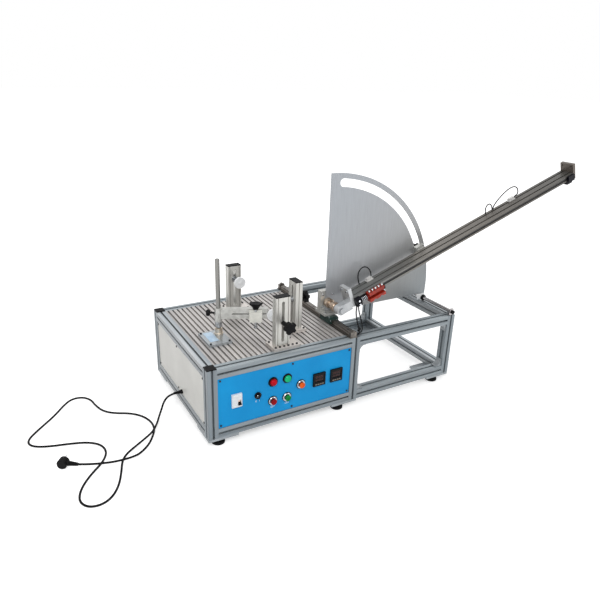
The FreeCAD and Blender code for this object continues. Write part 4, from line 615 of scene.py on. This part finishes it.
def build_frame_screws(mesh):
    """Two screws in each corner gusset of the open bay."""
    for x, toward in ((664, 1), (1140, -1)):
        for z, rise in ((40, 1), (250, -1)):
            for y in (20, 612):
                upright = at(x + toward * GUSSET_WALL, y, z + rise * GUSSET_HOLE)
                flat = at(x + toward * GUSSET_HOLE, y, z + rise * GUSSET_WALL)
                add_socket_screw(mesh, upright, (toward, 0, 0), 5.0)
                add_socket_screw(mesh, flat, (0, 0, rise), 5.0)


piece("gusset_screws", steel, "machine_frame", build_frame_screws)

COLUMN_BASE_TOP, POST_BASE_TOP = 302, 300


def build_base_screws(mesh):
    """Screws of the two wide columns, the narrow column and the post's base plate."""
    places = []
    for column_x, column_y in ((312, 474), (329, 62)):
        low = column_y - 76 * 0.42
        for row_y in (low + 9, low + 67):
            places += [(column_x - 34 + 18.4 * hole, row_y, COLUMN_BASE_TOP) for hole in range(6)]
    places += [(462 + across, 190 + up, COLUMN_BASE_TOP) for across in (-21, 21) for up in (-38, 38)]
    places += [(x, y, POST_BASE_TOP) for x, y in ((88, 180), (166, 180), (88, 288), (166, 288))]
    for place in places:
        add_socket_screw(mesh, at(*place), UP, 4.6, 3.6)


piece("base_screws", black_oxide, "machine_frame", build_base_screws)


def build_bare_plate(mesh):
    add_block(mesh, to_corner, (95, 200, 299.9), (131, 284, 300.8), 0.3)


piece("bare_plate", bare_plate, "machine_frame", build_bare_plate)


ROD_X, ROD_Z = 1160, 307


def build_rod_caps(mesh):
    """A cap in each end of the guide rod."""
    for y, way in ((-8.0, -1), (640.0, 1)):
        cap = facing(at(ROD_X, y, ROD_Z), (0, way, 0))
        add_turned(mesh, cap, [(8.6, -9.5), (8.6, 0.0), (7.4, 0.9), (1.0, 0.9)], 32)


piece("rod_end_caps", black_plastic, "machine_frame", build_rod_caps)


def build_rod_wiper(mesh):
    add_ring(mesh, facing(at(ROD_X, 190, ROD_Z), (0, 1, 0)), 8.3, 13.2, -1.2, 8.6)


piece("rod_wiper", black_plastic, "traverse_carriage", build_rod_wiper)

# The spindle stands on the guide bar, which is turned round the post
bar_turn = Matrix.Rotation(math.radians(-24), 4, "Z")
spindle_offset = Vector((146, -25.6, 0)) * MM
spindle_axis = Matrix.Translation(at(152, 256, 0)) @ bar_turn @ Matrix.Translation(spindle_offset)


KNOB_LOBES, LOBE_DEPTH, KNOB_FLATNESS = 5, 0.2, 0.72
PLAIN_RADIUS, LOBED_SPAN = 9.0, 19.0


def build_hold_down_knob(mesh):
    """The moulded knob of the hold-down spindle: a fluted cone whose lobes deepen toward its crown."""
    segments = 80
    rings = []
    for radius, height in ((5.1, 414.2), (8.6, 414.4), (9.8, 415.6), (11.8, 419.5), (15.2, 425.5),
                           (20.0, 431.5), (25.0, 436.0), (27.6, 438.6), (27.8, 440.6), (26.0, 442.0),
                           (11.0, 442.2), (9.0, 441.0)):
        ring = []
        for step in range(segments):
            angle = math.tau * step / segments
            depth = LOBE_DEPTH * max(0.0, (radius - PLAIN_RADIUS) / LOBED_SPAN)
            reach = radius * (1.0 - depth * (0.5 - 0.5 * math.cos(KNOB_LOBES * angle)))
            place = Vector((reach * math.cos(angle), reach * KNOB_FLATNESS * math.sin(angle), height))
            ring.append(mesh.verts.new(spindle_axis @ (place * MM)))
        rings.append(ring)
    skin(mesh, rings)


hold_down_knob = piece("hold_down_knob", black_plastic, "spindle", build_hold_down_knob)
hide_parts("hold_down_spindle")


def build_hold_down_stem(mesh):
    add_turned(mesh, spindle_axis, [
        (4.6, 335.2), (6.4, 335.4), (7.6, 337.0), (7.6, 343.0), (6.2, 344.4), (5.0, 344.8), (5.0, 415.0),
        (4.6, 415.4),
    ], 32)


piece("hold_down_stem", steel, "spindle", build_hold_down_stem)


def build_spindle_tip(mesh):
    add_turned(mesh, spindle_axis, [(2.6, 331.9), (3.6, 332.4), (4.6, 334.0), (4.6, 335.6)], 32)


piece("spindle_tip", nylon, "spindle", build_spindle_tip)


def build_carriage_screws(mesh):
    """Screws in the carriage plate and in the front of the upright block."""
    for x in (606, 654):
        add_socket_screw(mesh, at(x, 182, 333.4), UP, 4.6, 3.6)
    for x, face_y in ((607, 210), (653, 205)):
        for z in (352, 408):
            add_socket_screw(mesh, at(x, face_y, z), FRONT, 4.2, 3.2)


piece("carriage_screws", steel, "traverse_carriage", build_carriage_screws)


RAIL_X, RAIL_TOP = 630, 311
WELL_PITCH = 67.5
COVERED_WELL = 2


def build_rail_holes(mesh):
    """Screw wells along the rail, apart from the one that the bearing block covers."""
    for well in range(9):
        if well != COVERED_WELL:
            place = at(RAIL_X, 46 + WELL_PITCH * well, RAIL_TOP)
            add_turned(mesh, facing(place, UP), [(4.6, -0.5), (4.6, 0.12), (3.0, 0.14)], 20)


piece("rail_screw_wells", black_oxide, "machine_frame", build_rail_holes)


def build_block_trim(mesh):
    """Small screws on both end faces of the bearing block and on its top."""
    for y, way in ((150, -1), (225, 1)):
        for x in (613, 647):
            add_socket_screw(mesh, at(x, y, 309), (0, way, 0), 2.6, 1.6)
    for x in (612.5, 647.5):
        for y in (157.0, 163.5):
            add_socket_screw(mesh, at(x, y, 323.4), UP, 2.6, 2.0)


piece("block_screws", steel, "traverse_carriage", build_block_trim)


def build_arm_screws(mesh):
    """Screws in the arm's two end plates and in the clamp bracket."""
    for u, y, n, way in ((53, 112, 61, -1), (53, 148, 61, -1), (1430, 114, 54, 1), (1430, 162, 54, 1)):
        add_socket_screw(mesh, on_arm(u, y, n), arm_way(way, 0, 0), 5.4, 5.0)
    for u in (490, 524):
        add_socket_screw(mesh, on_arm(u, 186, 29), arm_way(0, -1, 0), 4.0, 3.0)


piece("arm_screws", steel, "arm", build_arm_screws)

# Control panel details

PANEL_Y = 3.0
COUNTER_XS = (473, 554)
LAMPS = ((266, 182), (328, 182))
BUTTONS = ((266, 99), (328, 99), (390, 140))
SELECTOR = (202, 140)


def on_panel(x, z, proud=0.0):
    """A frame on the panel's face that looks out of it."""
    return facing(at(x, PANEL_Y - proud, z), FRONT)


def build_counter_glass(mesh):
    for x in COUNTER_XS:
        add_block(mesh, to_corner, (x - 21.6, PANEL_Y - 5.2, 132.2), (x + 21.6, PANEL_Y - 4.6, 163.0), 0.2)


piece("counter_windows", display_glass, "machine_frame", build_counter_glass)

DIGIT_BAR = 0.9
DIGIT_FRONT, DIGIT_BACK = PANEL_Y - 5.5, PANEL_Y - 5.1


def build_digits(mesh):
    """Two rows of plain zeros behind each counter's glass, as four bars each."""
    for x in COUNTER_XS:
        for row_z, width, height in ((154.0, 4.4, 9.0), (140.0, 3.4, 6.4)):
            low, high = row_z - height / 2, row_z + height / 2
            for digit in range(5):
                left = x - 17.5 + digit * 7.4
                for level in (low, high):
                    add_block(mesh, to_corner, (left, DIGIT_FRONT, level - DIGIT_BAR / 2),
                              (left + width, DIGIT_BACK, level + DIGIT_BAR / 2), 0)
                for side in (left, left + width - DIGIT_BAR):
                    add_block(mesh, to_corner, (side, DIGIT_FRONT, low),
                              (side + DIGIT_BAR, DIGIT_BACK, high), 0)


piece("counter_digits", digit_red, "machine_frame", build_digits)


def build_counter_keys(mesh):
    for x in COUNTER_XS:
        for key in range(4):
            left = x - 20 + key * 10.6
            add_block(mesh, to_corner, (left, PANEL_Y - 8.4, 120.0), (left + 8.2, PANEL_Y - 6.6, 124.6), 0.5)


piece("counter_keys", key_grey, "machine_frame", build_counter_keys)


def build_dark_rings(mesh):
    """A gasket under each button and lamp, a second ring on the lamps and the selector's collar."""
    for x, z in (*BUTTONS, *LAMPS):
        add_ring(mesh, on_panel(x, z), 17.0, 20.2, -0.2, 2.4)
    for x, z in LAMPS:
        add_ring(mesh, on_panel(x, z), 14.2, 18.4, 2.0, 5.2)
    add_ring(mesh, on_panel(*SELECTOR), 9.9, 14.0, -0.2, 4.7)


piece("switch_gaskets", gloss_black, "machine_frame", build_dark_rings)


def build_key(mesh):
    add_ring(mesh, on_panel(*SELECTOR, 8), 2.0, 5.4, -0.2, 1.2)


piece("lock_face", chrome, "selector", build_key)


def build_breaker_trim(mesh):
    add_block(mesh, to_corner, (97, -7.4, 160.5), (131, -4.8, 168.5), 0.8)
    add_block(mesh, to_corner, (97, -7.4, 120.0), (115, -4.8, 128.0), 0.8)


piece("breaker_covers", white_plastic, "machine_frame", build_breaker_trim)


def build_breaker_label(mesh):
    add_block(mesh, to_corner, (99, -4.98, 139), (127, -4.7, 157), 0.05)


piece("breaker_label", label_pink, "machine_frame", build_breaker_label)


LEGEND_SIZE = 11


def legend(name, words, x, z):
    """A short printed legend on the panel's face."""
    data = bpy.data.curves.new(name, "FONT")
    data.body = words
    data.size = LEGEND_SIZE * MM
    data.align_x = "CENTER"
    data.extrude = 0.0001
    data.materials.append(legend_white)
    made = add_object(name, data)
    made.matrix_world = Matrix.Translation(at(x, PANEL_Y - 0.05, z)) @ Matrix.Rotation(math.pi / 2, 4, "X")
    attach(made, "machine_frame")


legend("legend_on", "ON", 328, 69)
legend("legend_off", "OFF", 266, 69)
legend("legend_zero_one", "0   1", 202, 112)

# Gripper, drive unit and sensors


def build_gripper_caps(mesh):
    for screw in range(5):
        add_socket_screw(mesh, on_arm(140 + 16.5 * screw, 85.3, 25), arm_way(0, 0, 1), 4.4, 4.6)


piece("gripper_screw_heads", chrome, "gripper", build_gripper_caps)


def build_gripper_end(mesh):
    add_block(mesh, arm_frame, (213.8, 79.6, 1.0), (218.6, 99.6, 17.0), 1.2)


piece("gripper_end_buffer", rubber, "gripper", build_gripper_end)


def build_drive_fittings(mesh):
    """Two plugs on the gearbox and the cooling rings of the motor can."""
    for n in (11.5, -5.5):
        plug_frame = facing(on_arm(81.4, 77.2, n), arm_way(0, -1, 0))
        add_turned(mesh, plug_frame, [(4.7, -1.0), (4.7, 1.6), (3.8, 2.4), (1.2, 2.4)])
    for u in (101, 108, 115, 122):
        add_ring(mesh, facing(on_arm(u, 92, 3), arm_way(1, 0, 0)), 8.8, 9.7, -0.9, 0.9)


piece("drive_fittings", chrome, "arm", build_drive_fittings)

# Small cables: one loop at each limit sensor, and two from the drive unit to the bearing block


def centre_line(points):
    """Points along the middle of a lead, read from its spline with no thickness."""
    curve = wire("middle_line", points, 0.0, cord_rubber)
    bpy.context.view_layer.update()
    line = bpy.data.meshes.new_from_object(curve.evaluated_get(bpy.context.evaluated_depsgraph_get()))
    middle = [vertex.co.copy() for vertex in line.vertices]
    bpy.data.meshes.remove(line)
    bpy.data.objects.remove(curve)
    return middle


def run_length(points):
    return sum((after - before).length for before, after in zip(points, points[1:]))


def lead(name, points, radius):
    """A thin lead that stays on the arm."""
    made = wire(name, points, radius, cord_rubber)
    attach(made, "arm")
    run_length(centre_line(points))


lead("near_sensor_cable", [on_arm(*point) for point in (
    (150, 170, 22), (150, 171, 40), (153, 172, 62), (163, 172, 80), (180, 172, 90), (197, 171, 88),
    (210, 168, 76), (214, 163, 58), (211, 160, 40), (206, 160, 32),
)], 0.0025)
lead("far_sensor_cable", [on_arm(*point) for point in (
    (938, 168, 22), (941, 168, 34), (962, 168, 50), (1000, 168, 68), (1040, 168, 80), (1076, 168, 82),
    (1099, 167, 72), (1106, 165, 54), (1099, 161, 38), (1076, 160, 34), (1064, 160, 33),
)], 0.0026)
lead("far_sensor_tail", [on_arm(*point) for point in (
    (893, 170, 22), (893, 170, 36), (901, 170, 54), (918, 170, 62), (933, 170, 52), (937, 170, 36),
    (937, 170, 22),
)], 0.0026)


def hanging_lead(name, points, radius):
    """A lead between the tilting arm and the traversing carriage."""
    curve = wire(name + "_line", points, radius, cord_rubber)
    middle = centre_line(points)
    data = bpy.data.meshes.new_from_object(curve.evaluated_get(bpy.context.evaluated_depsgraph_get()))
    bpy.data.objects.remove(curve)
    made = add_object(name, data)
    data.shade_smooth()
    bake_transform(made)


hanging_lead("drive_cable", [at(*point) for point in (
    (701, 93, 392), (701, 92, 376), (694, 84, 352), (684, 58, 328), (674, 30, 311), (664, 8, 301),
    (646, 4, 297.4), (641, 24, 297.2), (641.6, 60, 297.2), (642, 100, 297.2), (642, 134, 298.2),
    (641, 151, 301),
)], 0.0027)
hanging_lead("encoder_cable", [at(*point) for point in (
    (707, 90, 392), (708, 89, 374), (709, 78, 348), (704, 54, 324), (692, 30, 311), (676, 12, 304.5),
    (656, 8, 302.6), (650, 26, 302.4), (650.5, 60, 302.4), (650.5, 100, 302.4), (650.5, 134, 303),
    (650, 151, 306),
)], 0.0024)


def build_cable_sleeve(mesh):
    sleeve_frame = facing(at(680, 30, 312), (-14, -8, -7))
    add_turned(mesh, sleeve_frame, [(4.2, 0.0), (5.6, 1.0), (5.6, 17.0), (4.4, 18.0)])


piece("cable_sleeve", black_plastic, "traverse_carriage", build_cable_sleeve)

# Floor, light and background

FLOOR_HALF = 30.0
FADE_FROM, FADE_TO = 0.9, 2.4
NEAR_SHINE = 0.45
ROOM_LIGHT, SEEN_WHITE = 0.38, 0.62
WHITE = (1.0, 1.0, 1.0, 1.0)

floor_data = bpy.data.meshes.new("studio_floor")
floor_mesh = bmesh.new()
bmesh.ops.create_grid(floor_mesh, x_segments=2, y_segments=2, size=FLOOR_HALF)
floor_mesh.to_mesh(floor_data)
floor_mesh.free()
floor = add_object("studio_floor", floor_data)
floor_paint = bpy.data.materials.new("studio_floor")
floor_paint.use_nodes = True
floor_tree = floor_paint.node_tree
floor_tree.nodes.clear()
floor_out = add_node(floor_tree, "ShaderNodeOutputMaterial")
matt = add_node(floor_tree, "ShaderNodeBsdfDiffuse")
matt.inputs["Color"].default_value = (0.8, 0.8, 0.8, 1.0)
glow = add_node(floor_tree, "ShaderNodeEmission")
glow.inputs["Color"].default_value = WHITE
both = add_node(floor_tree, "ShaderNodeAddShader")


def seen_directly(tree, strength):
    """Strength where a ray comes from the camera, a reflection or glass, and nothing for other rays."""
    path = add_node(tree, "ShaderNodeLightPath")
    first = add_node(tree, "ShaderNodeMath", operation="MAXIMUM")
    second = add_node(tree, "ShaderNodeMath", operation="MAXIMUM")
    scaled = add_node(tree, "ShaderNodeMath", operation="MULTIPLY")
    tree.links.new(path.outputs["Is Camera Ray"], first.inputs[0])
    tree.links.new(path.outputs["Is Glossy Ray"], first.inputs[1])
    tree.links.new(first.outputs["Value"], second.inputs[0])
    tree.links.new(path.outputs["Is Transmission Ray"], second.inputs[1])
    tree.links.new(second.outputs["Value"], scaled.inputs[0])
    scaled.inputs[1].default_value = strength
    return scaled.outputs["Value"]


# The floor is whiter the further it lies from the middle, so that its shadow fades out
distance = add_node(floor_tree, "ShaderNodeVectorMath", operation="LENGTH")
floor_tree.links.new(add_node(floor_tree, "ShaderNodeTexCoord").outputs["Object"], distance.inputs[0])
fade = add_node(floor_tree, "ShaderNodeMapRange")
fade.inputs["From Min"].default_value = FADE_FROM
fade.inputs["From Max"].default_value = FADE_TO
fade.inputs["To Min"].default_value = NEAR_SHINE
fade.inputs["To Max"].default_value = 1.0
floor_tree.links.new(distance.outputs["Value"], fade.inputs["Value"])
strength = add_node(floor_tree, "ShaderNodeMath", operation="MULTIPLY")
floor_tree.links.new(seen_directly(floor_tree, 1.0), strength.inputs[0])
floor_tree.links.new(fade.outputs["Result"], strength.inputs[1])
floor_tree.links.new(strength.outputs["Value"], glow.inputs["Strength"])
floor_tree.links.new(matt.outputs["BSDF"], both.inputs[0])
floor_tree.links.new(glow.outputs["Emission"], both.inputs[1])
floor_tree.links.new(both.outputs["Shader"], floor_out.inputs["Surface"])
floor_data.materials.append(floor_paint)

world = bpy.data.worlds.new("studio_world")
bpy.context.scene.world = world
world.use_nodes = True
world_tree = world.node_tree
background = world_tree.nodes["Background"]
background.inputs["Color"].default_value = WHITE
lit = add_node(world_tree, "ShaderNodeMath", operation="ADD")
world_tree.links.new(seen_directly(world_tree, SEEN_WHITE), lit.inputs[0])
lit.inputs[1].default_value = ROOM_LIGHT
world_tree.links.new(lit.outputs["Value"], background.inputs["Strength"])


def soft_light(name, place, target, size, power):
    """A rectangular light that looks at a target."""
    data = bpy.data.lights.new(name, "AREA")
    data.shape = "RECTANGLE"
    data.size, data.size_y = size
    data.energy = power
    made = add_object(name, data)
    made.matrix_world = facing(Vector(place), Vector(place) - Vector(target))


soft_light("key_light", (-2.6, -3.0, 3.4), (-0.3, 0.0, 0.3), (2.4, 1.8), 110.0)
soft_light("fill_light", (2.8, -2.6, 2.2), (0.0, 0.0, 0.3), (2.2, 1.6), 38.0)
soft_light("top_light", (-0.2, 0.6, 3.6), (-0.1, 0.0, 0.3), (3.0, 2.4), 55.0)

bpy.context.scene.view_settings.view_transform = "Standard"
